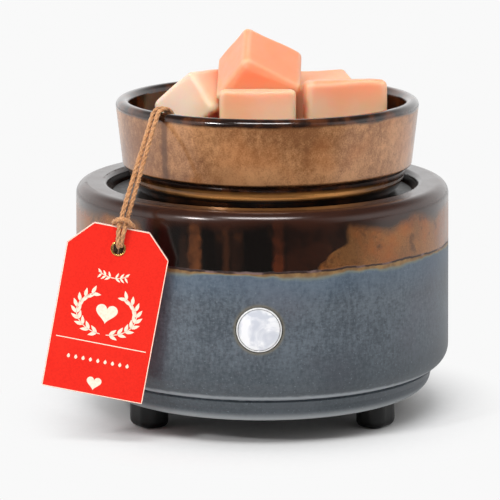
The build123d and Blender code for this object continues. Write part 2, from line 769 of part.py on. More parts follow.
# Wax melts: place above the dish floor as shares of the cube's width, turn in degrees, size share
melt_shares = {
    "melt_top": ((-0.018, 0.075, 0.986), (26.3, 29.5, -1.8), 0.975),
    "melt_front": ((-0.064, -0.786, 0.468), (-95.7, -1.3, 0.0), 0.982),
    "melt_right": ((1.036, -0.461, 0.521), (-92.1, -7.4, -0.3), 1.06),
    "melt_back": ((0.764, 0.736, 0.514), (-72.7, -9.2, 2.1), 0.864),
    "melt_left": ((-0.825, 0.289, 0.568), (-25.9, -29.9, 51.4), 0.898),
    "melt_rear": ((-0.150, 1.182, 0.350), (3.2, 1.2, 9.0), 0.868),
}
melt_width = (dish_bore_radius - melt_clearance) * melt_width_share
melt_height = melt_width * melt_height_share
melt_edge_round = melt_width * melt_edge_share
melt_taper = math.degrees(math.atan(melt_draft_share))
dish_floor = plate_top + dish_floor_height
for melt_name, (place_shares, melt_turn, size_share) in melt_shares.items():
    melt_centre = Vector(*place_shares) * melt_width + Vector(0, 0, dish_floor)
    melt_plane = Plane(Location(melt_centre, melt_turn)).offset(-melt_height * size_share / 2)
    with BuildPart() as wax_melt:
        with BuildSketch(melt_plane):
            Rectangle(melt_width * size_share, melt_width * size_share)
        extrude(amount=melt_height * size_share, taper=melt_taper)
        fillet(wax_melt.edges(), melt_edge_round)
    wax_melt.part.label = melt_name
    export_step(wax_melt.part, f"parts/{melt_name}.step")

# Gift tag: a card with clipped top corners, on a plane that faces the front and leans to one side
facing = math.radians(tag_facing)
lean = math.radians(tag_lean)
tag_plane_distance = base_radius - tag_inset
tag_normal = Vector(-math.sin(facing), -math.cos(facing), 0)
tag_level = Vector(math.cos(facing), -math.sin(facing), 0)
tag_right = tag_level * math.cos(lean) - Vector(0, 0, 1) * math.sin(lean)
tag_origin = tag_normal * tag_plane_distance + tag_level * tag_side
tag_origin += Vector(0, 0, underside + eyelet_height)
tag_plane = Plane(origin=tag_origin, x_dir=tag_right, z_dir=tag_normal)
tag_top = eyelet_drop
eyelet_barrel_radius = eyelet_bore_radius + eyelet_wall
eyelet_radius = eyelet_barrel_radius + eyelet_roll
with BuildPart() as tag_card:
    with BuildSketch(tag_plane.offset(-tag_thickness / 2)):
        with BuildLine():
            Polyline(
                (tag_clip_width - tag_width / 2, tag_top),
                (tag_width / 2 - tag_clip_width, tag_top),
                (tag_width / 2, tag_top - tag_clip_drop),
                (tag_width / 2, tag_top - tag_height),
                (-tag_width / 2, tag_top - tag_height),
                (-tag_width / 2, tag_top - tag_clip_drop),
                close=True,
            )
        tag_face = make_face()
        fillet(tag_face.vertices(), tag_corner_round)
        Circle(eyelet_barrel_radius + eyelet_clearance, mode=Mode.SUBTRACT)
    extrude(amount=tag_thickness)
tag_card.part.label = "tag_card"
export_step(tag_card.part, "parts/tag_card.step")

with BuildPart() as tag_eyelet:
    with BuildSketch(tag_plane.offset(-tag_thickness / 2 - eyelet_flange)):
        Circle(eyelet_barrel_radius)
    extrude(amount=tag_thickness + 2 * eyelet_flange)
    for flange_start in (-tag_thickness / 2 - eyelet_flange, tag_thickness / 2):
        with BuildSketch(tag_plane.offset(flange_start)):
            Circle(eyelet_radius)
        extrude(amount=eyelet_flange)
    with BuildSketch(tag_plane.offset(-tag_thickness / 2 - eyelet_flange - overrun)):
        Circle(eyelet_bore_radius)
    extrude(amount=tag_thickness + 2 * eyelet_flange + 2 * overrun, mode=Mode.SUBTRACT)
tag_eyelet.part.label = "tag_eyelet"
export_step(tag_eyelet.part, "parts/tag_eyelet.step")

# Twine: one cord, doubled through the eyelet, with both ends inside the dish
twine_points = [
    (-31.0, -30.8, 104.2),
    (-32.1, -32.0, 111.1),
    (-34.1, -34.4, 116.5),
    (-37.8, -37.9, 116.5),
    (-39.1, -40.9, 112.7),
    (-48.8, -63.9, 82.3),
    (-49.7, -64.8, 76.9),
    (-49.7, -64.9, 72.5),
    (-49.5, -61.0, 72.5),
    (-47.9, -61.0, 76.6),
    (-46.7, -62.1, 81.9),
    (-37.4, -42.1, 112.7),
    (-36.1, -39.6, 116.5),
    (-32.6, -35.9, 116.5),
    (-30.2, -33.9, 111.1),
    (-29.0, -32.8, 104.2),
]
twine_radii = largest_radii(twine_points)
print("twine bends, mm:", [round(radius, 1) for radius in twine_radii])
with BuildPart() as twine:
    with BuildLine():
        twine_path = FilletPolyline(*twine_points, radius=twine_radii)
    with BuildSketch(Plane(origin=twine_path @ 0, z_dir=twine_path % 0)):
        Circle(twine_radius)
    sweep()
twine_length = twine_path.length
print("twine length, mm:", round(twine_length, 1))
print("twine volume share:", round(twine.part.volume / (math.pi * twine_radius ** 2 * twine_length), 4))
twine.part.label = "twine"
export_step(twine.part, "parts/twine.step")

# The hitch where both strands of the twine are knotted above the tag
with BuildPart() as twine_knot:
    with BuildSketch(Plane(origin=tag_plane.origin + tag_plane.y_dir * (knot_rise - knot_length / 2),
                           x_dir=tag_plane.x_dir, z_dir=tag_plane.y_dir)):
        Circle(knot_radius)
    extrude(amount=knot_length)
    fillet(twine_knot.edges().filter_by(GeomType.CIRCLE), knot_length / 3)
twine_knot.part.label = "twine_knot"
export_step(twine_knot.part, "parts/twine_knot.step")
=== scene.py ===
# %% [markdown]
# # A wax melt warmer in glazed stoneware
# The object is an electric warmer: a thrown-looking stoneware base in two glazes, a loose bronze
# dish full of peach wax cubes, a pearly push button and a red gift tag on jute twine. The solids
# come ready at their real size. This file dresses them, and models anew the twine, the eyelet and
# the wax, which plain solids can't show. It works in metres, +Z up, with the button facing -Y.

# %% Load the frame
import itertools
import json
import math
import random

import bmesh
import bpy
from mathutils import Euler, Matrix, Vector


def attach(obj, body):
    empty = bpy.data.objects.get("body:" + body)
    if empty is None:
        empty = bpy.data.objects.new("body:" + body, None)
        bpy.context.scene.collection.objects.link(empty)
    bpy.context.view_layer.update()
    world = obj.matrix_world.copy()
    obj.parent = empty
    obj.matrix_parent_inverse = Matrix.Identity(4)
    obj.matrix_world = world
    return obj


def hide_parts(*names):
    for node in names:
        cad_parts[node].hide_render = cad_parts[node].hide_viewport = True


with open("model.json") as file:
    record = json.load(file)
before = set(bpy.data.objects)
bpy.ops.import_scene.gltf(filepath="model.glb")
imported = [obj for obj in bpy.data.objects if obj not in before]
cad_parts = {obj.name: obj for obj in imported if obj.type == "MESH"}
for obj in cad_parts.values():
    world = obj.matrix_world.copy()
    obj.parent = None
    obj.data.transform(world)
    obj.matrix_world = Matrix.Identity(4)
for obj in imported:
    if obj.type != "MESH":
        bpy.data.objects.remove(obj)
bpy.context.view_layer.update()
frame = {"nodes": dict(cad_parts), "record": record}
mm = 0.001

# %% [markdown]
# ## Camera
# The photograph was taken from about a metre away, a little above the rim, with a long lens that
# flattens the ellipses. The lens and tilt below were worked out from the two rims' ellipses. The
# object's axis stands right of the middle of the picture, which a small sideways shift gives.

# %% Camera
photo_width_px = 500
axis_column_px = 262.3
focal_length_px = 2914.7
sensor_width_mm = 36.0
camera_distance = 1050 * mm
camera_height = 270.7 * mm
camera_tilt = math.radians(11.425)

camera_data = bpy.data.cameras.new("camera")
camera_data.sensor_width = sensor_width_mm
camera_data.lens = focal_length_px * sensor_width_mm / photo_width_px
camera_data.shift_x = (photo_width_px / 2 - axis_column_px) / photo_width_px
camera = bpy.data.objects.new("camera", camera_data)
camera.location = (0, -camera_distance, camera_height)
camera.rotation_euler = (math.pi / 2 - camera_tilt, 0, 0)
bpy.context.collection.objects.link(camera)
bpy.context.scene.camera = camera
print("lens, mm:", round(camera_data.lens, 1))

# %% [markdown]
# ## The twine's line
# One jute cord is doubled through the tag's eyelet and laid over the dish's rim, and both ends
# hang inside the dish. Its plies could be bent into place one by one, but a smooth NURBS line with
# a few control points is easier to change: the plies then follow points read from that line.

# %% The twine's line
twine_diameter = 1.7 * mm
twine_route_mm = [
    (-31.0, -30.8, 104.2), (-32.1, -32.0, 111.1),
    (-34.1, -34.4, 116.5), (-37.8, -37.9, 116.5),
    (-39.1, -40.9, 112.7), (-48.8, -63.9, 82.3),
    (-49.7, -64.8, 76.9), (-49.7, -64.9, 72.5),
    (-49.5, -61.0, 72.5), (-47.9, -61.0, 76.6),
    (-46.7, -62.1, 81.9), (-37.4, -42.1, 112.7),
    (-36.1, -39.6, 116.5), (-32.6, -35.9, 116.5),
    (-30.2, -33.9, 111.1), (-29.0, -32.8, 104.2),
]


def smooth_line(route):
    """Points along a NURBS curve through a route, as Blender evaluates it."""
    curve = bpy.data.curves.new("guide", "CURVE")
    curve.dimensions = "3D"
    curve.resolution_u = 24
    spline = curve.splines.new("NURBS")
    spline.points.add(len(route) - 1)
    for point, place in zip(spline.points, route):
        point.co = (*place, 1)
    spline.order_u = 3
    spline.use_endpoint_u = True
    guide = bpy.data.objects.new("guide", curve)
    mesh = bpy.data.meshes.new_from_object(guide)
    line = [vertex.co.copy() for vertex in mesh.vertices]
    bpy.data.objects.remove(guide)
    bpy.data.meshes.remove(mesh)
    return line


curve_points = smooth_line([Vector(place) * mm for place in twine_route_mm])
print("points read from the curve:", len(curve_points))

# %% [markdown]
# ### Even steps
# The curve's own points crowd together where it bends. The plies turn by the distance travelled,
# so the line is measured out again with points a fixed step apart.

# %% Even steps
twine_step = 0.3 * mm


def even_line(line, step):
    """The same line with points a fixed step apart, and its length."""
    spans = [(b - a).length for a, b in zip(line, line[1:])]
    total = sum(spans)
    count = max(2, round(total / step))
    even = []
    index = 0
    passed = 0.0
    for number in range(count + 1):
        wanted = total * number / count
        while index < len(spans) - 1 and passed + spans[index] < wanted:
            passed += spans[index]
            index += 1
        share = (wanted - passed) / spans[index] if spans[index] else 0
        even.append(line[index].lerp(line[index + 1], min(1, max(0, share))))
    return even, total


twine_line, twine_length = even_line(curve_points, twine_step)
print("twine length, mm:", round(twine_length / mm, 1), "in", len(twine_line), "points")

# %% [markdown]
# ## Frames along the line
# A ply circles the line, so each point needs two directions that cross it. Taking them afresh at
# every point would make them jump in the bends. Carrying one direction along, and only trimming
# it square to the line, keeps the twist even.

# %% Frames along the line
def carried_frames(line):
    """A tangent and two crossing directions at each point, carried along with no twist."""
    frames = []
    across = None
    for index, point in enumerate(line):
        before = line[max(0, index - 1)]
        after = line[min(len(line) - 1, index + 1)]
        along = (after - before).normalized()
        if across is None:
            across = along.orthogonal().normalized()
        across = (across - along * across.dot(along)).normalized()
        frames.append((point, along, across, along.cross(across)))
    return frames


twine_frames = carried_frames(twine_line)
print("frames along the twine:", len(twine_frames))

# %% [markdown]
# ## Twisted plies
# Jute twine is three plies laid round each other. Each ply is a small tube whose centre circles
# the line, and its own section is lobed, because it is a bundle of fibres. A round tube with a
# bump texture would be quicker, but its outline would stay smooth.

# %% Twisted plies
ply_count = 3
ply_lay = 7.0 * mm
ply_sides = 12
ply_radius_share = 0.27
ply_lobes = 4
lobe_depth = 0.16
lobe_drift = 2.2


def finished_object(name, mesh, smooth=True):
    """Turns an edit mesh into an object of the scene, with outward faces."""
    bmesh.ops.recalc_face_normals(mesh, faces=mesh.faces)
    data = bpy.data.meshes.new(name)
    mesh.to_mesh(data)
    mesh.free()
    for face in data.polygons:
        face.use_smooth = smooth
    made = bpy.data.objects.new(name, data)
    bpy.context.collection.objects.link(made)
    return made


def ply_rings(mesh, line, ply, diameter):
    """The rings of points of one ply along a line."""
    radius = diameter * ply_radius_share
    rings = []
    for index, (point, along, across, beside) in enumerate(carried_frames(line)):
        turn = 2 * math.pi * (index * twine_step / ply_lay + ply / ply_count)
        outward = across * math.cos(turn) + beside * math.sin(turn)
        sideways = along.cross(outward)
        centre = point + outward * (diameter / 2 - radius)
        ring = []
        for side in range(ply_sides):
            angle = 2 * math.pi * side / ply_sides
            reach = radius * (1 + lobe_depth * math.cos(ply_lobes * angle - lobe_drift * turn))
            offset = outward * math.cos(angle) * reach + sideways * math.sin(angle) * reach
            ring.append(mesh.verts.new(centre + offset))
        rings.append(ring)
    return rings


def skin(mesh, rings):
    """Faces between rings of points, closed at both ends."""
    sides = len(rings[0])
    for ring, after in zip(rings, rings[1:]):
        for side in range(sides):
            other = (side + 1) % sides
            mesh.faces.new((ring[side], ring[other], after[other], after[side]))
    mesh.faces.new(list(reversed(rings[0])))
    mesh.faces.new(rings[-1])


def plied_mesh(name, lines, diameter):
    """Twisted cords along some lines, as one mesh."""
    mesh = bmesh.new()
    for line, ply in itertools.product(lines, range(ply_count)):
        skin(mesh, ply_rings(mesh, line, ply, diameter))
    return finished_object(name, mesh)


twine = plied_mesh("jute_twine", [twine_line], twine_diameter)
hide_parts("twine")
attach(twine, "tag")
print("twine mesh:", len(twine.data.vertices), "vertices")

# %% [markdown]
# ## The tag's own axes
# The card hangs on an upright plane that faces almost straight to the front, and it leans to one
# side. Everything on the card, from the eyelet to the print, is placed by its distance right of
# the eyelet, above it and in front of the card's middle. That is simpler than modelling it flat
# and turning it afterwards, because every mesh keeps the scene's own coordinates.

# %% The tag's own axes
tag_facing = math.radians(2.0)
tag_lean = math.radians(10.7)
tag_plane_distance = 64.6 * mm
tag_side = -47.5 * mm
eyelet_level = 71.8 * mm
card_thickness = 0.8 * mm

tag_out = Vector((-math.sin(tag_facing), -math.cos(tag_facing), 0))
tag_level = Vector((math.cos(tag_facing), -math.sin(tag_facing), 0))
tag_right = tag_level * math.cos(tag_lean) - Vector((0, 0, 1)) * math.sin(tag_lean)
tag_up = tag_level * math.sin(tag_lean) + Vector((0, 0, 1)) * math.cos(tag_lean)
eyelet_place = tag_out * tag_plane_distance + tag_level * tag_side + Vector((0, 0, eyelet_level))


def on_tag(right, up, out=0.0):
    """A point in the tag's own axes, given in millimetres from the eyelet's middle."""
    return eyelet_place + (tag_right * right + tag_up * up + tag_out * out) * mm


print("eyelet at, mm:", [round(v / mm, 1) for v in eyelet_place])

# %% [markdown]
# ## The hitch
# The cord's middle goes through the eyelet, comes up behind the card and passes as an arch over
# the standing strands. Two lines make that: the second leg on the front of the card, and the arch
# that rises behind it and bends over its edge. They get the same plies as the long strands.

# %% The hitch
hitch_diameter = twine_diameter * 0.94
second_leg = [
    (0.9, 1.1, -0.5), (0.9, 1.3, 1.3),
    (0.8, 3.4, 1.9), (0.9, 6.4, 2.0),
    (1.1, 8.6, 1.4), (1.2, 10.5, 0.2),
]
arch_route = [
    (-0.8, -2.9, -1.4), (-0.9, 1.2, -1.5), (-2.9, 5.4, -1.6),
    (-3.2, 7.3, -1.45), (-3.2, 8.7, -0.9), (-3.0, 9.2, 0.8),
    (-1.9, 10.5, 2.2), (0.2, 11.2, 3.0), (2.3, 10.2, 2.2),
    (3.4, 9.0, 0.8), (3.8, 8.6, -0.9), (3.8, 7.3, -1.45),
    (3.1, 5.2, -1.6), (1.1, 1.2, -1.5), (0.8, -2.9, -1.5),
]
hitch_lines = []
for route in (second_leg, arch_route):
    line, length = even_line(smooth_line([on_tag(*place) for place in route]), twine_step)
    hitch_lines.append(line)
    print("hitch strand, mm:", round(length / mm, 1))
hitch = plied_mesh("twine_hitch", hitch_lines, hitch_diameter)
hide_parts("twine_knot")
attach(hitch, "tag")

# %% [markdown]
# ## Loose fibres
# Jute is hairy. A particle system could grow the hairs, but plain meshes are exported as they are.
# So short three-sided hairs that bend away from the cord break up its clean outline. They keep
# clear of the dish and the card, so nothing cuts through anything when the tag swings.

# %% Loose fibres
fibre_count = 230
fibre_radius = 0.035 * mm
fibre_lengths = (0.8, 2.4)
fibre_lifts = (0.12, 0.5)
fibre_root = twine_diameter * 0.42
fibre_taper = 0.75
fibre_bends = 3
fibre_lowest = 82 * mm
fibre_highest = 108 * mm
fibre_seed = 7


def fibre_mesh(name, frames, count):
    """Short hairs at random places along a line's frames."""
    dice = random.Random(fibre_seed)
    mesh = bmesh.new()
    for _ in range(count):
        point, along, across, beside = dice.choice(frames)
        turn = dice.uniform(0, 2 * math.pi)
        outward = across * math.cos(turn) + beside * math.sin(turn)
        lean = along * dice.choice((-1, 1))
        length = dice.uniform(*fibre_lengths) * mm
        lift = dice.uniform(*fibre_lifts)
        rings = []
        for bend in range(fibre_bends + 1):
            share = bend / fibre_bends
            centre = point + outward * fibre_root + lean * length * share
            centre += outward * length * lift * share * share
            radius = fibre_radius * (1 - fibre_taper * share)
            rings.append([
                mesh.verts.new(
                    centre + outward * radius * math.cos(angle) + beside * radius * math.sin(angle)
                )
                for angle in (0, 2 * math.pi / 3, 4 * math.pi / 3)
            ])
        skin(mesh, rings)
    return finished_object(name, mesh)


hanging_frames = [made for made in twine_frames if fibre_lowest < made[0].z < fibre_highest]
fibres = fibre_mesh("loose_fibres", hanging_frames, fibre_count)
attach(fibres, "tag")
print("fibres:", fibre_count)

# %% [markdown]
# ## The eyelet
# A brass eyelet is one pressed ring: a short barrel whose two ends are rolled outwards over the
# card. Turning a rolled outline round the hole's axis gives the soft bright edge that a flat
# washer lacks.

# %% The eyelet
eyelet_bore = 2.0 * mm
eyelet_outer = 2.7 * mm
eyelet_lip = 0.4 * mm
eyelet_sides = 48
roll_steps = 8


def arc(centre, radius, start_degrees, end_degrees):
    """Points of an arc in a (radius, height) outline."""
    points = []
    for step in range(roll_steps + 1):
        angle = math.radians(start_degrees + (end_degrees - start_degrees) * step / roll_steps)
        points.append((centre[0] + radius * math.cos(angle), centre[1] + radius * math.sin(angle)))
    return points


half_card = card_thickness / 2
roll_radius = (eyelet_outer - eyelet_bore) / 2
roll_middle = (eyelet_outer + eyelet_bore) / 2
front_roll = arc((roll_middle, half_card + eyelet_lip - roll_radius), roll_radius, 0, 180)
back_roll = arc((roll_middle, roll_radius - half_card - eyelet_lip), roll_radius, 180, 360)
barrel = [(eyelet_outer - roll_radius, -half_card), (eyelet_outer - roll_radius, half_card)]
eyelet_outline = front_roll + back_roll + barrel
print("eyelet outline points:", len(eyelet_outline))

# %% [markdown]
# ### Turning the outline
# A Screw modifier would turn it too. Laying the rings by hand puts them straight in the tag's own
# axes, so the ring needs no turning into place.

# %% Turning the outline
def turned_mesh(name, outline, sides):
    """Turns a closed outline of (radius, height) round the eyelet's axis."""
    mesh = bmesh.new()
    rings = []
    for side in range(sides):
        angle = 2 * math.pi * side / sides
        rings.append([
            mesh.verts.new(on_tag(radius * math.cos(angle) / mm, radius * math.sin(angle) / mm, height / mm))
            for radius, height in outline
        ])
    for index, ring in enumerate(rings):
        after = rings[(index + 1) % sides]
        for step in range(len(outline)):
            other = (step + 1) % len(outline)
            mesh.faces.new((ring[step], ring[other], after[other], after[step]))
    return finished_object(name, mesh)


eyelet = turned_mesh("brass_eyelet", eyelet_outline, eyelet_sides)
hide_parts("tag_eyelet")
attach(eyelet, "tag")
print("eyelet faces:", len(eyelet.data.polygons))

# %% [markdown]
# ## The card's print
# The card carries a small sprig, a wreath of leaves with a heart, a rule, a row of dots and a
# heart at the foot. A picture texture would blur close up, and the export drops it. Flat ink
# shapes a few hundredths of a millimetre above the card, cut as polygons, stay crisp at any size.
# First come the shapes that all of it is made of.

# %% The card's print
ink_lift = half_card / mm + 0.03
ink = bmesh.new()
leaf_shares = (0, 0.15, 0.35, 0.55, 0.75, 0.9, 1.0)
heart_steps = 40


def add_shape(outline):
    """One flat ink shape on the front of the card, from (right, up) points in millimetres."""
    ink.faces.new([ink.verts.new(on_tag(right, up, ink_lift)) for right, up in outline])


def leaf(heading, length, width, place):
    """A pointed leaf that starts at a place and points along a heading in degrees."""
    turn = math.radians(heading)
    points = [(share * length, width * math.sin(math.pi * share ** 0.8) / 2) for share in leaf_shares]
    outline = points + [(x, -y) for x, y in reversed(points[1:-1])]
    return [(place[0] + x * math.cos(turn) - y * math.sin(turn),
             place[1] + x * math.sin(turn) + y * math.cos(turn)) for x, y in outline]


def heart(place, width):
    """A heart of a given width, by the usual sum of cosines."""
    points = []
    for step in range(heart_steps):
        turn = 2 * math.pi * step / heart_steps
        x = 16 * math.sin(turn) ** 3
        y = 13 * math.cos(turn) - 5 * math.cos(2 * turn) - 2 * math.cos(3 * turn) - math.cos(4 * turn)
        points.append((place[0] + x * width / 32, place[1] + y * width / 32))
    return points


def stroke(points, width):
    """A line of a given width through (right, up) points."""
    left = []
    right = []
    for index, point in enumerate(points):
        before = points[max(0, index - 1)]
        after = points[min(len(points) - 1, index + 1)]
        along = Vector((after[0] - before[0], after[1] - before[1])).normalized()
        left.append((point[0] - along.y * width / 2, point[1] + along.x * width / 2))
        right.append((point[0] + along.y * width / 2, point[1] - along.x * width / 2))
    return left + list(reversed(right))


print("ink above the card's middle, mm:", round(ink_lift, 2))

# %% [markdown]
# ### Sprig and wreath
# Both are symmetrical, so each is laid out for one side and mirrored. The leaves grow in pairs
# along a stem, which for the wreath is a flattened arc.

# %% Sprig and wreath
sprig_level = -10.6
sprig_reach = 5.2
sprig_rise = 1.5
sprig_leaf = (2.2, 0.75)
wreath_level = -23.5
wreath_reach = 10.5
wreath_height = wreath_reach * 0.72
wreath_leaf = (3.3, 1.25)
first_leaf_degrees = -78
leaf_step_degrees = 16.5
leaf_spread = 34
stem_width = 0.3


def sprig_point(side, share):
    return side * share * sprig_reach, sprig_level + sprig_rise * share * share


def wreath_point(side, degrees):
    swing = math.radians(degrees)
    return side * wreath_reach * math.cos(swing), wreath_level + wreath_height * math.sin(swing)


def mirrored(heading, side):
    return heading if side > 0 else 180 - heading


for side in (-1, 1):
    add_shape(stroke([sprig_point(side, share) for share in (0, 0.3, 0.6, 0.85, 1)], 0.28))
    for share, tilt in ((0.18, 68), (0.48, 58), (0.78, 46)):
        for heading in (tilt, tilt - 100):
            add_shape(leaf(mirrored(heading, side), *sprig_leaf, sprig_point(side, share)))
for side in (-1, 1):
    for step in range(9):
        degrees = first_leaf_degrees + step * leaf_step_degrees
        for spread in (-leaf_spread, leaf_spread):
            heading = mirrored(degrees + 90 + spread, side)
            add_shape(leaf(heading, *wreath_leaf, wreath_point(side, degrees)))
    add_shape(stroke([wreath_point(side, -84 + step * 8) for step in range(19)], stem_width))
print("ink shapes so far:", len(ink.faces))

# %% [markdown]
# ### Hearts, rule and dots
# A heart sits in the wreath and another at the foot of the card, with a rule and a row of small
# lozenges between them. The lozenges are upright leaves.

# %% Hearts, rule and dots
rule_level = -34.4
rule_half = 15.9
rule_width = 0.32
dot_level = -41.4
dot_pitch = 2.6
dot_size = (1.6, 1.1)
foot_heart_level = -48.6

add_shape(heart((0, wreath_level + 0.3), 7.6))
add_shape(stroke([(-rule_half, rule_level), (rule_half, rule_level)], rule_width))
for dot in range(-4, 5):
    add_shape(leaf(90, *dot_size, (dot * dot_pitch, dot_level)))
add_shape(heart((0, foot_heart_level), 5.2))
print("ink shapes so far:", len(ink.faces))

# %% [markdown]
# ### The pale cut edge
# The board's core is pale and shows as a fine light line where the die cut the card. Narrow strokes
# just inside its outline make that line as wide as it looks in the photograph.

# %% The pale cut edge
card_half_width = 35.7 / 2
card_top = 7.6
card_bottom = card_top - 60.6
clip_width = 8.1
clip_drop = 8.5
edge_inset = 0.2
edge_end_gap = 0.16
edge_width = 0.28

card_corners = [
    (clip_width - card_half_width, card_top),
    (card_half_width - clip_width, card_top),
    (card_half_width, card_top - clip_drop),
    (card_half_width, card_bottom),
    (-card_half_width, card_bottom),
    (-card_half_width, card_top - clip_drop),
]
for corner, after in zip(card_corners, card_corners[1:] + card_corners[:1]):
    along = (Vector(after) - Vector(corner)).normalized()
    inward = Vector((along.y, -along.x)) * edge_inset
    start = Vector(corner) + along * edge_end_gap + inward
    end = Vector(after) - along * edge_end_gap + inward
    add_shape(stroke([tuple(start), tuple(end)], edge_width))
tag_print = finished_object("card_print", ink, smooth=False)
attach(tag_print, "tag")
print("ink shapes:", len(tag_print.data.polygons))

# %% [markdown]
# ## Wax cubes
# Each cube was poured in a tapered pocket, so it is narrower at the pocket's floor, its edges are
# melted round, and its open face sank a little as the wax shrank. A Bevel modifier would round the
# edges evenly. Pulling a cube's grid of points towards an inner box gives the edges, the sunk face
# and the taper in one formula, and a slow wobble makes each cube its own. Each row gives a cube's
# place in cube widths above the dish's floor, its turn in degrees and its size.

# %% Wax cubes
melt_width = 27.96 * mm
melt_height = 20.5 * mm
melt_taper = 0.0857
dish_floor_level = 95.0 * mm
melt_places = {
    "melt_top": ((-0.018, 0.075, 0.986), (26.3, 29.5, -1.8), 0.975),
    "melt_front": ((-0.064, -0.786, 0.468), (-95.7, -1.3, 0.0), 0.982),
    "melt_right": ((1.036, -0.461, 0.521), (-92.1, -7.4, -0.3), 1.06),
    "melt_back": ((0.764, 0.736, 0.514), (-72.7, -9.2, 2.1), 0.864),
    "melt_left": ((-0.825, 0.289, 0.568), (-25.9, -29.9, 51.4), 0.898),
    "melt_rear": ((-0.150, 1.182, 0.350), (3.2, 1.2, 9.0), 0.868),
}
wax_grid = 28
wax_round = 2.5 * mm
round_change = 0.28
wax_sink = 0.45 * mm
wax_wobble = 0.07 * mm
grid_crowding = 0.35
round_waves = (3.1, 2.7)
wobble_waves = (5, 4)
seed_step = 1.7


def wax_point(unit, half, seed):
    """One point of a cube's grid, given from -1 to 1 on each axis, as a place on the wax."""
    uneven = math.sin(round_waves[0] * unit.x + seed) * math.cos(round_waves[1] * unit.y + seed)
    radius = wax_round * (1 + round_change * uneven)
    inner = Vector([max(-(h - radius), min(h - radius, u * h)) for u, h in zip(unit, half)])
    outward = Vector([u * h for u, h in zip(unit, half)]) - inner
    place = inner + outward.normalized() * radius if outward.length > 0 else inner
    if unit.z < -0.999:
        place.z += wax_sink * (1 - unit.x * unit.x) * (1 - unit.y * unit.y)
    narrowing = 1 - melt_taper * (place.z + half.z) / half.x
    wobble = wax_wobble * math.sin(wobble_waves[0] * unit.z + seed)
    wobble *= math.sin(wobble_waves[1] * unit.x - seed)
    return Vector((place.x * narrowing + wobble, place.y * narrowing - wobble, place.z))


print("grid faces per cube:", 6 * (wax_grid + 1) ** 2)

# %% [markdown]
# ### Six cubes
# The grid's points are crowded towards the edges, where the surface bends. Every cube then gets
# its own seed and stands where its solid stands.

# %% Six cubes
def wax_mesh(name, place_in_widths, turn, size, seed):
    """A melted-edged tapered cube."""
    half = Vector((melt_width, melt_width, melt_height)) * size / 2
    mesh = bmesh.new()
    bmesh.ops.create_cube(mesh, size=2)
    bmesh.ops.subdivide_edges(mesh, edges=mesh.edges, cuts=wax_grid, use_grid_fill=True)
    for vertex in mesh.verts:
        unit = Vector([
            math.sin(c * math.pi / 2) * grid_crowding + c * (1 - grid_crowding) for c in vertex.co
        ])
        vertex.co = wax_point(unit, half, seed)
    centre = Vector(place_in_widths) * melt_width + Vector((0, 0, dish_floor_level))
    spin = Euler([math.radians(angle) for angle in turn], "ZYX").to_matrix().to_4x4()
    mesh.transform(Matrix.Translation(centre) @ spin)
    return finished_object(name, mesh)


wax_cubes = []
for number, (node, (place, turn, size)) in enumerate(melt_places.items()):
    cube = wax_mesh(node.replace("melt", "wax_cube"), place, turn, size, number * seed_step)
    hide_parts(node)
    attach(cube, "top_melt" if node == "melt_top" else "melts")
    wax_cubes.append(cube)
    print(cube.name, "lowest, mm:", round(min(v.co.z for v in cube.data.vertices) / mm, 2))

# %% [markdown]
# ## A kit for finishes
# Every finish is one Principled shader fed by procedural textures in the piece's own coordinates,
# so it shows from any side and travels with the piece. The nodes could be wired by hand in the
# shader editor, but a kit of short names keeps each recipe readable, and it wires the sky too.

# %% A kit for finishes
def paint(red, green, blue):
    """A colour as seen on a screen, from 0 to 255, as the linear colour that a shader wants."""
    linear = []
    for value in (red, green, blue):
        share = value / 255
        linear.append(share / 12.92 if share <= 0.04045 else ((share + 0.055) / 1.055) ** 2.4)
    return (*linear, 1.0)


class NodeKit:
    """Short names for adding shader nodes to one tree."""

    def __init__(self, tree, coordinates):
        self.tree = tree
        self.place = tree.nodes.new("ShaderNodeTexCoord").outputs[coordinates]

    def feed(self, socket, value):
        if isinstance(value, bpy.types.NodeSocket):
            self.tree.links.new(value, socket)
        else:
            socket.default_value = value

    def node(self, kind, values=(), **settings):
        made = self.tree.nodes.new("ShaderNode" + kind)
        for name, value in settings.items():
            setattr(made, name, value)
        for socket, value in dict(values).items():
            self.feed(made.inputs[socket], value)
        return made

    def reckon(self, operation, first, second=0.0):
        return self.node("Math", {0: first, 1: second}, operation=operation).outputs[0]

    def vector(self, operation, first, second):
        return self.node("VectorMath", {0: first, 1: second}, operation=operation).outputs

    def plus(self, first, second):
        return self.reckon("ADD", first, second)

    def minus(self, first, second):
        return self.reckon("SUBTRACT", first, second)

    def times(self, first, second):
        return self.reckon("MULTIPLY", first, second)

    def larger(self, first, second):
        return self.reckon("MAXIMUM", first, second)

    def away_from(self, value, middle):
        return self.reckon("ABSOLUTE", self.minus(value, middle))

    def total(self, *parts):
        """The sum of (value, share) pairs, each value times its share."""
        (value, share), *others = parts
        result = self.times(value, share)
        for value, share in others:
            result = self.plus(result, self.times(value, share))
        return result

    def axes(self):
        made = self.node("SeparateXYZ", {0: self.place})
        return made.outputs[0], made.outputs[1], made.outputs[2]

    def ramp(self, value, low, high, start=0.0, end=1.0, form="SMOOTHSTEP"):
        """Turns a value between low and high into one between start and end."""
        values = {"Value": value, "From Min": low, "From Max": high, "To Min": start, "To Max": end}
        return self.node("MapRange", values, interpolation_type=form).outputs[0]

    def band(self, value, low, full, fading, gone):
        """1 between full and fading, and 0 outside low and gone."""
        return self.times(self.ramp(value, low, full), self.ramp(value, fading, gone, 1, 0))


print("node kit ready")

# %% [markdown]
# ### The finish itself
# The constants that a finish is made with go straight onto the shader's own sockets, where an
# export finds them.

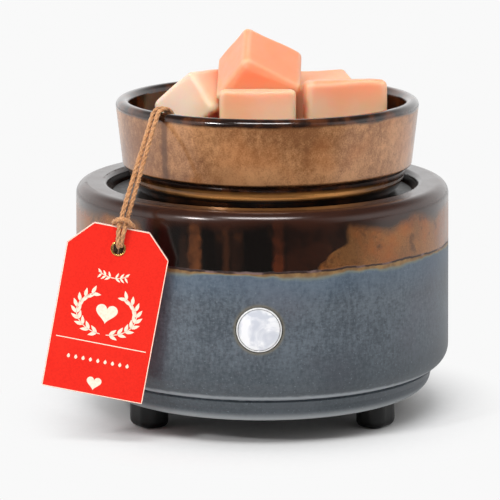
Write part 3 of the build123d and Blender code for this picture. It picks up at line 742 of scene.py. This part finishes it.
# %% The finish itself
class Finish(NodeKit):
    """A Principled material with short names for its textures."""

    def __init__(self, name, **settings):
        self.material = bpy.data.materials.new(name)
        self.material.use_nodes = True
        super().__init__(self.material.node_tree, "Object")
        self.shader = self.tree.nodes["Principled BSDF"]
        for socket, value in settings.items():
            self.give(socket.replace("_", " "), value)

    def give(self, socket, value):
        self.feed(self.shader.inputs[socket], value)

    def stretched(self, x, y, z):
        return self.node("Mapping", {"Vector": self.place, "Scale": (x, y, z)}).outputs[0]

    def noise(self, scale, detail=3.0, roughness=0.5, place=None, distortion=0.0):
        values = {"Scale": scale, "Detail": detail, "Roughness": roughness, "Distortion": distortion}
        values["Vector"] = self.place if place is None else place
        return self.node("TexNoise", values).outputs["Fac"]

    def waver(self, scale, detail):
        """Noise that swings evenly to both sides of nothing."""
        return self.minus(self.noise(scale, detail), 0.5)

    def radius(self, x, y):
        return self.reckon("SQRT", self.plus(self.times(x, x), self.times(y, y)))

    def mix(self, share, first, second):
        made = self.node("Mix", data_type="RGBA")
        self.feed(made.inputs[0], share)
        self.feed(made.inputs[6], first)
        self.feed(made.inputs[7], second)
        return made.outputs[2]

    def between(self, share, first, second):
        """A colour between two paints."""
        return self.mix(share, paint(*first), paint(*second))

    def tint(self, under, colour, share):
        """Paint laid over a colour."""
        return self.mix(share, under, paint(*colour))

    def bump(self, height, distance, strength=1.0):
        values = {"Height": height, "Distance": distance, "Strength": strength}
        self.give("Normal", self.node("Bump", values).outputs[0])

    def report(self):
        print(self.material.name, "has", len(self.tree.nodes), "nodes")


print("finish kit ready")

# %% [markdown]
# ## Two glazes on the base
# The base was dipped in a blue-grey satin glaze, and its top was poured with a glossy iron-brown
# one. A painted picture would need unwrapping and has one size. Height above the table picks the
# glaze instead, and noise makes the line waver. The blue comes first: mottled, darker low down,
# bluer near the line and thin round the button. The pale line above the groove is thin glaze with a
# painted highlight, and the pale foot edge is thin glaze with a painted reflection of the table.

# %% The blue glaze
glaze_line = 64.3 * mm
button_front = (-1.1 * mm, -68.0 * mm, 44.1 * mm)

pot = Finish("stoneware_two_glazes", IOR=1.46, Coat_Roughness=0.22)
x, y, z = pot.axes()
waver = pot.waver(55, 3)
fine_waver = pot.waver(420, 2)
level = pot.plus(z, pot.total((waver, 2.6 * mm), (fine_waver, 0.7 * mm)))
hazy_height = pot.plus(z, pot.times(fine_waver, 0.8 * mm))
cloud = pot.noise(48, 4, 0.55)
grain = pot.noise(950, 4, 0.65, pot.stretched(1, 1, 0.45))
weave = pot.noise(1250, 3, 0.6, pot.stretched(0.5, 0.5, 1))
mottle = pot.total((cloud, 0.32), (grain, 0.38), (weave, 0.3))
mauve_patches = pot.ramp(pot.noise(30, 2), 0.5, 0.72, 0, 0.4)
low_shade = pot.ramp(level, 20 * mm, 42 * mm, 0.6, 0)
near_line = pot.ramp(level, glaze_line - 14 * mm, glaze_line - 2 * mm, 0, 0.35)
freckles = pot.ramp(pot.noise(1500, 1, 0.4), 0.68, 0.76, 0, 0.35)
from_button = pot.vector("DISTANCE", pot.place, button_front)["Value"]
button_halo = pot.ramp(from_button, 8.2 * mm, 9.6 * mm, 0.6, 0)
# A pale line along the groove: thin glaze at the edge, and a painted highlight that also hides the groove's
# shade.
groove_glaze_and_painted_highlight = pot.times(pot.band(hazy_height, 17.2 * mm, 17.9 * mm, 18.8 * mm, 20.2 * mm), 0.85)
# A pale foot edge: thin glaze, and a painted reflection of the white table.
foot_glaze_and_painted_reflection = pot.ramp(z, 9.4 * mm, 13 * mm, 0.8, 0)

blue = pot.between(pot.ramp(mottle, 0.36, 0.64), (58, 66, 74), (98, 107, 116))
for colour, share in (
    ((92, 92, 102), mauve_patches),
    ((46, 54, 59), low_shade),
    ((84, 106, 128), near_line),
    ((130, 140, 148), freckles),
    ((118, 108, 84), button_halo),
    ((160, 165, 170), groove_glaze_and_painted_highlight),
    ((176, 180, 182), foot_glaze_and_painted_reflection),
):
    blue = pot.tint(blue, colour, share)
pot.report()

# %% [markdown]
# ### The brown glaze and its runs
# Iron glaze is almost black where it is thick and rusty where it ran thin. Noise stretched
# upwards gives the thin runs round the back. The front has four of its own, given by how far their
# middle lies to the right and by their half width, both in millimetres, and by their colour.

# %% The brown glaze and its runs
front_runs = (
    (18.5, 10.2, (46, 20, 8)),
    (5.6, 1.5, (84, 36, 12)),
    (-23.4, 1.8, (104, 58, 28)),
    (-12.5, 0.7, (58, 30, 14)),
)
run_inner_blur = 0.7
run_outer_blur = 1.2

streaks = pot.noise(130, 2, 0.5, pot.stretched(1, 1, 0.07))
patches = pot.noise(75, 3, 0.6, None, 0.3)
drip = pot.total((streaks, 0.72), (patches, 0.28))
behind = pot.ramp(y, -52 * mm, -25 * mm, 0.12, 1)
rust = pot.times(pot.ramp(drip, 0.5, 0.62), behind)
brown = pot.between(rust, (13, 7, 4), (88, 46, 20))
wandering_x = pot.plus(x, pot.times(fine_waver, 2.2 * mm))
cloudy = pot.ramp(pot.noise(95, 3, 0.6), 0.34, 0.6, 0.3, 1)
for middle, half, colour in front_runs:
    aside = pot.away_from(wandering_x, middle * mm)
    run = pot.ramp(aside, (half - run_inner_blur) * mm, (half + run_outer_blur) * mm, 0.95, 0)
    brown = pot.tint(brown, colour, pot.times(run, cloudy))
ember = pot.ramp(pot.noise(240, 3, 0.6), 0.5, 0.7, 0, 0.6)
brown = pot.tint(brown, (150, 82, 36), pot.times(ember, rust))
pot.report()

# %% [markdown]
# ### The bronze pour
# Both sides of the top caught a second pour that dried to a speckled satin bronze. Its edge leans
# inwards towards the glaze line, it thins out in clouds, and it stops short of the shoulder, which
# stayed reddish brown.

# %% The bronze pour
pour_right = 28.4 * mm
pour_left = -44 * mm
pour_lean = 10 * mm

lean_height = pot.plus(z, pot.times(waver, 14 * mm))
lean_in = pot.ramp(lean_height, 65 * mm, 71 * mm, pour_lean, 0)
fold = pot.plus(pot.plus(x, lean_in), pot.times(fine_waver, 1.6 * mm))
right_pour = pot.ramp(fold, pour_right, pour_right + 2.6 * mm)
left_pour = pot.ramp(fold, pour_left, pour_left + 3 * mm, 1, 0)
stop_height = pot.plus(z, pot.times(waver, 12 * mm))
below_shoulder = pot.ramp(stop_height, 75 * mm, 80.5 * mm, 1, 0)
thinning = pot.ramp(pot.noise(60, 4, 0.65), 0.4, 0.62, 0.72, 1)
pour = pot.times(pot.times(pot.larger(right_pour, left_pour), below_shoulder), thinning)

speck = pot.ramp(pot.noise(1900, 4, 0.7), 0.15, 0.85)
bronze = pot.between(speck, (122, 76, 38), (176, 120, 68))
orange_clouds = pot.ramp(pot.noise(85, 4, 0.65), 0.4, 0.7, 0, 0.6)
bronze = pot.tint(bronze, (168, 88, 32), orange_clouds)
dark_flecks = pot.ramp(pot.noise(130, 4, 0.7), 0.54, 0.68, 0, 0.7)
bronze = pot.tint(bronze, (92, 56, 28), dark_flecks)
brown = pot.mix(pot.times(pour, 0.92), brown, bronze)
top_height = pot.plus(z, pot.times(waver, 9 * mm))
red_top = pot.ramp(top_height, 77.5 * mm, 82 * mm, 0, 0.85)
brown = pot.tint(brown, (56, 26, 13), red_top)
pot.report()

# %% [markdown]
# ### Where the glazes meet
# Towards the brown's edge the blue turns olive, then ochre, and a thin thread of glaze lies right
# on the line. The width of that halo changes round the pot. The dry foot shows its clay.

# %% Where the glazes meet
halo_width = pot.ramp(pot.noise(34, 3, 0.6), 0.35, 0.65, 1.1 * mm, 2.8 * mm)
below_line = pot.reckon("DIVIDE", pot.minus(glaze_line, level), halo_width)
ochre = pot.between(pot.ramp(pot.noise(300, 3), 0.4, 0.65), (120, 84, 38), (148, 112, 60))
olive = pot.tint(ochre, (120, 126, 108), pot.ramp(below_line, 0.4, 0.9))
glazes = pot.mix(pot.ramp(below_line, 0.5, 1.25, 0.9, 0), blue, olive)
thread = pot.between(pot.ramp(pot.noise(140, 3), 0.5, 0.62), (46, 24, 18), (118, 92, 88))
on_thread = pot.ramp(level, glaze_line - 0.5 * mm, glaze_line - 0.1 * mm)
glazes = pot.mix(on_thread, glazes, thread)
under_brown = pot.ramp(level, glaze_line + 0.1 * mm, glaze_line + 0.7 * mm)
glazes = pot.mix(under_brown, glazes, brown)
bare_clay = pot.ramp(z, 9.05 * mm, 9.3 * mm, 1, 0)
pot.give("Base Color", pot.tint(glazes, (150, 132, 112), bare_clay))
pot.report()

# %% [markdown]
# ### Gloss and relief
# The blue is satin and the brown is glossy under a clear coat, while the bronze pour is slightly
# metallic and duller. The brown layer also stands a little proud, which a bump shows better than
# a step in the mesh would at this size.

# %% Gloss and relief
satin = pot.ramp(mottle, 0.3, 0.7, 0.38, 0.52)
gloss = pot.plus(pot.ramp(drip, 0.3, 0.7, 0.18, 0.26), pot.times(pour, 0.1))
satin_share = pot.times(satin, pot.minus(1, under_brown))
pot.give("Roughness", pot.plus(satin_share, pot.times(gloss, under_brown)))
coat = pot.minus(pot.ramp(under_brown, 0, 1, 0.3, 0.65), pot.times(pour, 0.3))
pot.give("Coat Weight", coat)
metal = pot.plus(pot.times(pour, 0.4), 0.15)
pot.give("Metallic", pot.times(metal, under_brown))
ripple = pot.total((pot.noise(38, 2), 1.4), (grain, 0.05))
pot.bump(pot.plus(pot.times(under_brown, 0.6), ripple), 0.25 * mm, 0.6)
pot.report()

# %% [markdown]
# ## Bronze glaze on the dish
# The dish's wall has a satin metallic bronze glaze, cloudy and speckled, with a painted shadow of
# the twine as a darker stripe beside it. It ran thin and dark on the rim and pooled glossy and
# almost black inside and under the wall. As on the base, height and distance from the axis tell
# these zones apart.

# %% Bronze glaze on the dish
dish_axis_x = 1.8 * mm
twine_shadow_x = -34.2 * mm

dish = Finish("bronze_glaze", IOR=1.45, Coat_Weight=0.8, Coat_Roughness=0.12)
x, y, z = dish.axes()
waver = dish.times(dish.waver(70, 3), 1.6 * mm)
cloud = dish.noise(45, 3, 0.5)
speck = dish.noise(1900, 4, 0.7)
weave = dish.noise(420, 4, 0.65, dish.stretched(1, 1, 0.8))
mottle = dish.total((cloud, 0.4), (speck, 0.32), (weave, 0.28))
# A painted shadow of the twine: a darker stripe on the wall's front, just right of the twine.
aside = dish.away_from(dish.plus(x, dish.times(waver, 0.7)), twine_shadow_x)
in_front = dish.ramp(y, -5 * mm, 0, 1, 0)
painted_twine_shadow = dish.times(dish.ramp(aside, 0.4 * mm, 1.5 * mm, 0.75, 0), in_front)

wall = dish.between(dish.ramp(mottle, 0.38, 0.62), (134, 84, 44), (208, 150, 100))
wall = dish.tint(wall, (112, 70, 36), dish.ramp(dish.noise(24, 3, 0.6), 0.5, 0.7, 0, 0.45))
wall = dish.tint(wall, (184, 108, 50), dish.ramp(dish.noise(42, 3), 0.5, 0.68, 0, 0.35))
wall = dish.tint(wall, (98, 58, 30), painted_twine_shadow)

pooled = dish.between(dish.ramp(dish.noise(160, 3), 0.4, 0.7), (30, 13, 6), (92, 48, 22))
on_rim = dish.ramp(dish.plus(z, waver), 111.6 * mm, 113 * mm)
on_bead = dish.ramp(z, 91.2 * mm, 92.2 * mm, 1, 0)
radius = dish.radius(dish.minus(x, dish_axis_x), y)
inside = dish.times(dish.ramp(radius, 50.6 * mm, 51.4 * mm, 1, 0), dish.ramp(z, 93 * mm, 94 * mm))
dark_share = dish.larger(dish.larger(on_rim, on_bead), inside)
glazes = dish.mix(dark_share, wall, pooled)
dish.report()

# %% [markdown]
# ### Gold and a painted highlight on the bead
# Under the wall the glaze gathered into a gold bead. Its gold is brightest in front and fades to
# the sides, which paints the bead's highlight into its colour.
# The bead's solid is plain, so a ridge in the bump catches the lamp as the glaze's own swell does.
# The dish's bare foot and its gloss are set here too.

# %% Gold and a painted highlight on the bead
# Gold glaze on the bead with a painted highlight: brightest in front, fading to the sides. The same mask
# makes it metallic.
gold_glaze_and_painted_highlight = dish.band(z, 84.8 * mm, 86.4 * mm, 87.4 * mm, 89.4 * mm)
rings = dish.noise(90, 3, 0.6, dish.stretched(0.35, 0.35, 9))
gold_glaze_and_painted_highlight = dish.times(gold_glaze_and_painted_highlight, dish.ramp(rings, 0.35, 0.62, 0.35, 1))
off_highlight_middle = dish.away_from(x, 4 * mm)
gold_glaze_and_painted_highlight = dish.times(gold_glaze_and_painted_highlight, dish.ramp(off_highlight_middle, 14 * mm, 44 * mm, 1, 0.12))
glazes = dish.tint(glazes, (255, 178, 100), gold_glaze_and_painted_highlight)
bare_clay = dish.ramp(z, 81.05 * mm, 81.3 * mm, 1, 0)
dish.give("Base Color", dish.tint(glazes, (150, 132, 112), bare_clay))

metal = dish.plus(dish.ramp(dark_share, 0, 1, 0.35, 0.12), dish.times(gold_glaze_and_painted_highlight, 0.4))
dish.give("Metallic", metal)
dull = dish.total((speck, 0.06), (gold_glaze_and_painted_highlight, 0.14))
dish.give("Roughness", dish.plus(dish.ramp(dark_share, 0, 1, 0.42, 0.13), dull))
ridge = dish.times(dish.ramp(z, 86.2 * mm, 88.2 * mm, 9, 0), dish.ramp(z, 84.6 * mm, 86 * mm))
relief = dish.plus(dish.noise(45, 2), dish.times(weave, 0.1))
dish.bump(dish.plus(relief, ridge), 0.25 * mm, 0.5)
dish.report()

# %% [markdown]
# ## Wax
# Wax glows because light enters it and comes out again a few millimetres away, redder than it went
# in. Plain paint would look like plastic, so subsurface scattering does that. A soft cloudy tint
# deepens towards the top of the heap and leaves the low cubes lighter, partly as painted light
# against the shade near the dish's rim. The left side is paler, and the edges carry a painted
# highlight.

# %% Wax
scatter_reach = (10 * mm, 3.4 * mm, 2 * mm)

wax = Finish("peach_wax", IOR=1.44, Subsurface_Weight=0.8, Subsurface_Scale=1.0)
wax.give("Subsurface Radius", scatter_reach)
x, _, z = wax.axes()
clouds = wax.ramp(wax.noise(60, 3, 0.5), 0.35, 0.65)
wax_colour = wax.between(clouds, (255, 194, 152), (255, 206, 172))
# Deeper towards the top and lighter low down, partly painted light against the shade near the dish's rim.
wax_colour = wax.tint(wax_colour, (238, 146, 106), wax.ramp(z, 114 * mm, 126 * mm, 0, 0.8))
wax_colour = wax.tint(wax_colour, (255, 224, 204), wax.ramp(x, -30 * mm, -14 * mm, 0.85, 0))
# A painted highlight on the wax's convex edges.
painted_edge_highlight = wax.ramp(wax.node("NewGeometry").outputs["Pointiness"], 0.5, 0.54, 0, 0.5)
wax.give("Base Color", wax.tint(wax_colour, (255, 208, 180), painted_edge_highlight))
wax.give("Roughness", wax.ramp(wax.noise(260, 3), 0.3, 0.7, 0.3, 0.42))
ripple = wax.plus(wax.noise(60, 2), wax.times(wax.noise(400, 2), 0.15))
wax.bump(ripple, 0.15 * mm, 0.5)
wax.report()

# %% [markdown]
# ## Card and ink
# The card is coated red board with a pale core, so only its faces are red. Two materials would
# split the mesh. The direction that a face looks in tells face from edge instead. The ink is cream.

# %% Card and ink
card = Finish("red_card", Roughness=0.6, IOR=1.3)
facing = card.node("TexCoord").outputs["Normal"]
along = card.vector("DOT_PRODUCT", facing, tag_out)["Value"]
face = card.ramp(card.reckon("ABSOLUTE", along), 0.85, 0.95)
pulp = card.noise(1400, 4, 0.65)
red = card.between(card.ramp(pulp, 0.3, 0.7), (228, 30, 14), (240, 38, 20))
red = card.tint(red, (240, 50, 28), card.ramp(card.noise(60, 3), 0.4, 0.7, 0, 0.25))
card.give("Base Color", card.mix(face, paint(246, 232, 224), red))
card.bump(pulp, 0.02 * mm, 0.35)
card.report()

cream_ink = Finish("cream_ink", Roughness=0.5)
grain = cream_ink.noise(1200, 3, 0.6)
cream = cream_ink.between(cream_ink.ramp(grain, 0.3, 0.7), (250, 226, 200), (255, 240, 220))
cream_ink.give("Base Color", cream)
cream_ink.bump(grain, 0.01 * mm, 0.3)
cream_ink.report()

# %% [markdown]
# ## Jute
# The twine is dull straw-brown fibre in lighter and darker patches, and a little sheen stands for
# the fuzz that is too fine to model. Seen through the eyelet, the strands behind the card lie in
# deep shade, which the tint round the hole deepens.

# %% Jute
jute = Finish("jute", Roughness=0.82, Sheen_Weight=0.25, Sheen_Roughness=0.5)
fibre = jute.noise(2600, 4, 0.7, jute.stretched(1, 1, 0.3))
straw = jute.between(jute.ramp(fibre, 0.3, 0.66), (138, 90, 52), (226, 168, 116))
straw = jute.tint(straw, (200, 138, 86), jute.ramp(jute.noise(320, 2), 0.45, 0.7, 0, 0.5))
from_hole = jute.vector("DISTANCE", jute.place, eyelet_place)["Value"]
offset = jute.vector("SUBTRACT", jute.place, eyelet_place)["Vector"]
depth = jute.vector("DOT_PRODUCT", offset, tag_out)["Value"]
near_hole = jute.ramp(from_hole, 2.6 * mm, 3.6 * mm, 1, 0)
back_side = jute.ramp(depth, -0.5 * mm, 0.3 * mm, 0.9, 0)
jute.give("Base Color", jute.tint(straw, (26, 20, 10), jute.times(near_hole, back_side)))
jute.bump(fibre, 0.08 * mm, 0.8)
jute.report()

# %% [markdown]
# ## Pearly button
# The cap is milky plastic with a faint swirl under a clear coat. A little scattering gives it the
# depth that plain white lacks.

# %% Pearly button
pearl = Finish("pearl_button", IOR=1.5, Subsurface_Weight=0.3, Subsurface_Scale=1.0, Coat_Weight=0.4)
pearl.give("Subsurface Radius", (2.5 * mm, 2.5 * mm, 2.8 * mm))
swirl = pearl.noise(110, 3, 0.5, None, 2.2)
pearl.give("Base Color", pearl.between(pearl.ramp(swirl, 0.4, 0.62), (204, 207, 216), (240, 240, 243)))
pearl.give("Roughness", pearl.ramp(swirl, 0.3, 0.7, 0.16, 0.26))
pearl.bump(pearl.noise(90, 1), 0.12 * mm, 0.3)
pearl.report()

# %% [markdown]
# ## The plain finishes
# The rest are everyday materials: rubber, plastic, plated steel, brass, ceramic and the board. One
# flat colour each would look dead close up. One recipe takes two near colours, a grain, a roughness
# range and a bump in millimetres, so each shows its texture.

# %% The plain finishes
metallic = {"Metallic": 1.0}
plain_rows = {
    "plate_metal": ("dark_plate_coat", (18, 13, 10), (34, 26, 21), 700, 0.3, 0.42, 0.03, {}),
    "bare_metal": ("mill_aluminium", (186, 186, 188), (214, 214, 216), 1500, 0.3, 0.45, 0.02, metallic),
    "zinc_steel": ("zinc_plate", (176, 176, 170), (208, 208, 204), 900, 0.28, 0.42, 0.02, metallic),
    "gasket_silicone": ("silicone", (196, 190, 182), (212, 206, 198), 600, 0.55, 0.7, 0.04, {}),
    "insulation": ("fibre_pad", (208, 202, 188), (236, 230, 218), 1800, 0.85, 0.98, 0.2, {}),
    "ceramic_white": ("white_ceramic", (226, 222, 214), (240, 237, 230), 500, 0.3, 0.45, 0.03, {}),
    "brass": ("polished_brass", (196, 150, 76), (236, 196, 120), 1300, 0.16, 0.3, 0.02, metallic),
    "black_rubber": ("black_rubber", (4, 4, 4), (10, 10, 10), 1600, 0.3, 0.42, 0.05, {"IOR": 1.35}),
    "black_plastic": ("black_plastic", (14, 14, 15), (26, 26, 27), 2200, 0.4, 0.55, 0.05, {}),
    "white_plastic": ("white_plastic", (214, 214, 214), (230, 230, 229), 900, 0.2, 0.3, 0.02, {}),
    "board": ("green_board", (14, 66, 38), (24, 86, 52), 700, 0.3, 0.42, 0.03, {}),
    "wire_jacket": ("wire_jacket", (176, 26, 20), (206, 44, 34), 800, 0.45, 0.6, 0.03, {}),
}


def plain_finish(name, dark, light, grain, smooth, rough, bump_height, settings):
    """An everyday material between two near colours."""
    plain = Finish(name, **settings)
    texture = plain.noise(grain, 4, 0.6)
    plain.give("Base Color", plain.between(plain.ramp(texture, 0.3, 0.7), dark, light))
    plain.give("Roughness", plain.ramp(texture, 0.3, 0.7, smooth, rough))
    plain.bump(texture, bump_height * mm, 0.5)
    return plain


slot_finishes = {
    "glazed_stoneware": pot,
    "bronze_glaze": dish,
    "wax": wax,
    "red_card": card,
    "jute": jute,
    "pearl_plastic": pearl,
}
for slot, row in plain_rows.items():
    slot_finishes[slot] = plain_finish(*row)
print("finishes by slot:", len(slot_finishes))

# %% [markdown]
# ## Dressing every piece
# The record says which slot each solid belongs to, so one loop dresses the solids, and the new
# pieces are dressed one by one after it. Only the print differs from its card: it wears ink.

# %% Dressing every piece
def dress(piece, finish):
    piece.data.materials.clear()
    piece.data.materials.append(finish.material)


for entry in frame["record"]["subparts"]:
    dress(frame["nodes"][entry["node"]], slot_finishes[entry["material_slot"]])
for piece in (twine, hitch, fibres):
    dress(piece, jute)
for piece in wax_cubes:
    dress(piece, wax)
dress(eyelet, slot_finishes["brass"])
dress(tag_print, cream_ink)
print("dressed:", len(frame["nodes"]), "solids")

# %% [markdown]
# ## The cord
# The twine is a free cord, with its length, thickness and route set above. This cell only prints a
# note.

# %% The cord
print("twine is a free cord")

# %% [markdown]
# ## The table top
# The photograph shows a white table with white all round. Lamps strong enough for that would wash
# out the object. So the table glows white, but only for the camera and only away from the object,
# and near it takes a plain shadow. Mirrored in the glaze it is dark in front, as a studio's floor
# is, and that gives the glaze its dark middle.

# %% The table top
white_level = 0.947
shadow_reach = 0.055
fade_reach = 0.1
dark_front = -0.16
dark_front_blur = 0.06
dark_level = 0.06
table_size = 6.0
table_squares = 24

white = Finish("table_top", Roughness=0.75)
x, y, _ = white.axes()
grain = white.ramp(white.noise(300, 3), 0.3, 0.7)
white.give("Base Color", white.mix(grain, (0.82, 0.82, 0.82, 1), (0.84, 0.84, 0.84, 1)))
rays = white.node("LightPath").outputs
far = white.ramp(white.radius(x, y), shadow_reach, fade_reach)
seen_far = white.times(far, rays["Is Camera Ray"])
glow = white.node("Emission", {"Color": (white_level, white_level, white_level, 1), "Strength": 1.0})
blend = white.node("MixShader", {0: seen_far, 1: white.shader.outputs[0], 2: glow.outputs[0]})
in_front = white.ramp(y, dark_front - dark_front_blur, dark_front, 1, 0)
mirrored_front = white.times(in_front, rays["Is Glossy Ray"])
gloom = white.node("Emission", {"Color": (1, 1, 1, 1), "Strength": dark_level})
blend = white.node("MixShader", {0: mirrored_front, 1: blend.outputs[0], 2: gloom.outputs[0]})
white.feed(white.tree.nodes["Material Output"].inputs["Surface"], blend.outputs[0])

top = bmesh.new()
bmesh.ops.create_grid(top, x_segments=table_squares, y_segments=table_squares, size=table_size / 2)
table = finished_object("table_top", top)
if table.data.polygons[0].normal.z < 0:
    table.data.flip_normals()
dress(table, white)
print("table, m:", table_size)

# %% [markdown]
# ## Lamps
# A small soft lamp at the front left shapes the round walls, and a wide strip above the front
# draws the long highlight on the shoulder. A sun would give harder shadows than the photograph's.

# %% Lamps
lamp_aim = (0, 0, 0.07)


def soft_lamp(name, place, width, height, power):
    """A soft lamp at a place, turned towards the object."""
    data = bpy.data.lights.new(name, "AREA")
    data.shape = "RECTANGLE"
    data.size = width
    data.size_y = height
    data.energy = power
    lamp = bpy.data.objects.new(name, data)
    lamp.location = place
    lamp.rotation_euler = (Vector(lamp_aim) - Vector(place)).to_track_quat("-Z", "Y").to_euler()
    bpy.context.collection.objects.link(lamp)
    return lamp


lamps = [
    soft_lamp("key", (-0.75, -0.8, 0.75), 0.16, 0.16, 4.8),
    soft_lamp("front_strip", (-0.04, -0.75, 1.15), 0.72, 0.26, 8.8),
]
print("lamps:", [lamp.name for lamp in lamps])

# %% [markdown]
# ## The world
# The real studio is white all round and dark behind the camera. Panels could be built for that,
# but a sky is simpler: Light Path tells the rays apart, so the camera sees plain white, while the
# glaze mirrors a white room with a dark side and a dark ceiling.

# %% The world
room_light = 0.85
dark_light = 0.08
dark_mirrored = 0.1

world = bpy.data.worlds.new("studio")
world.use_nodes = True
sky = NodeKit(world.node_tree, "Generated")
_, sky_y, sky_z = sky.axes()
dark_side = sky.ramp(sky.times(sky_y, -1), 0.45, 0.85)
light = sky.ramp(dark_side, 0, 1, room_light, dark_light, "LINEAR")
overhead = sky.ramp(sky_z, 0.3, 0.75)
mirror = sky.ramp(sky.larger(dark_side, overhead), 0, 1, white_level, dark_mirrored, "LINEAR")
rays = sky.node("LightPath").outputs
mirrored = sky.larger(rays["Is Glossy Ray"], rays["Is Transmission Ray"])
unseen = sky.node("Mix", {0: mirrored, 2: light, 3: mirror})
strength = sky.node("Mix", {0: rays["Is Camera Ray"], 2: unseen.outputs[0], 3: white_level})
background = sky.tree.nodes["Background"]
sky.feed(background.inputs["Strength"], strength.outputs[0])
background.inputs["Color"].default_value = (1, 1, 1, 1)
bpy.context.scene.world = world
bpy.context.scene.view_settings.view_transform = "Standard"
print("sky nodes:", len(sky.tree.nodes))

# %% [markdown]
# ## The end
# The dressed object has to fill the same box as the solids. The view layer is brought up to date.

# %% The end
bpy.context.view_layer.update()
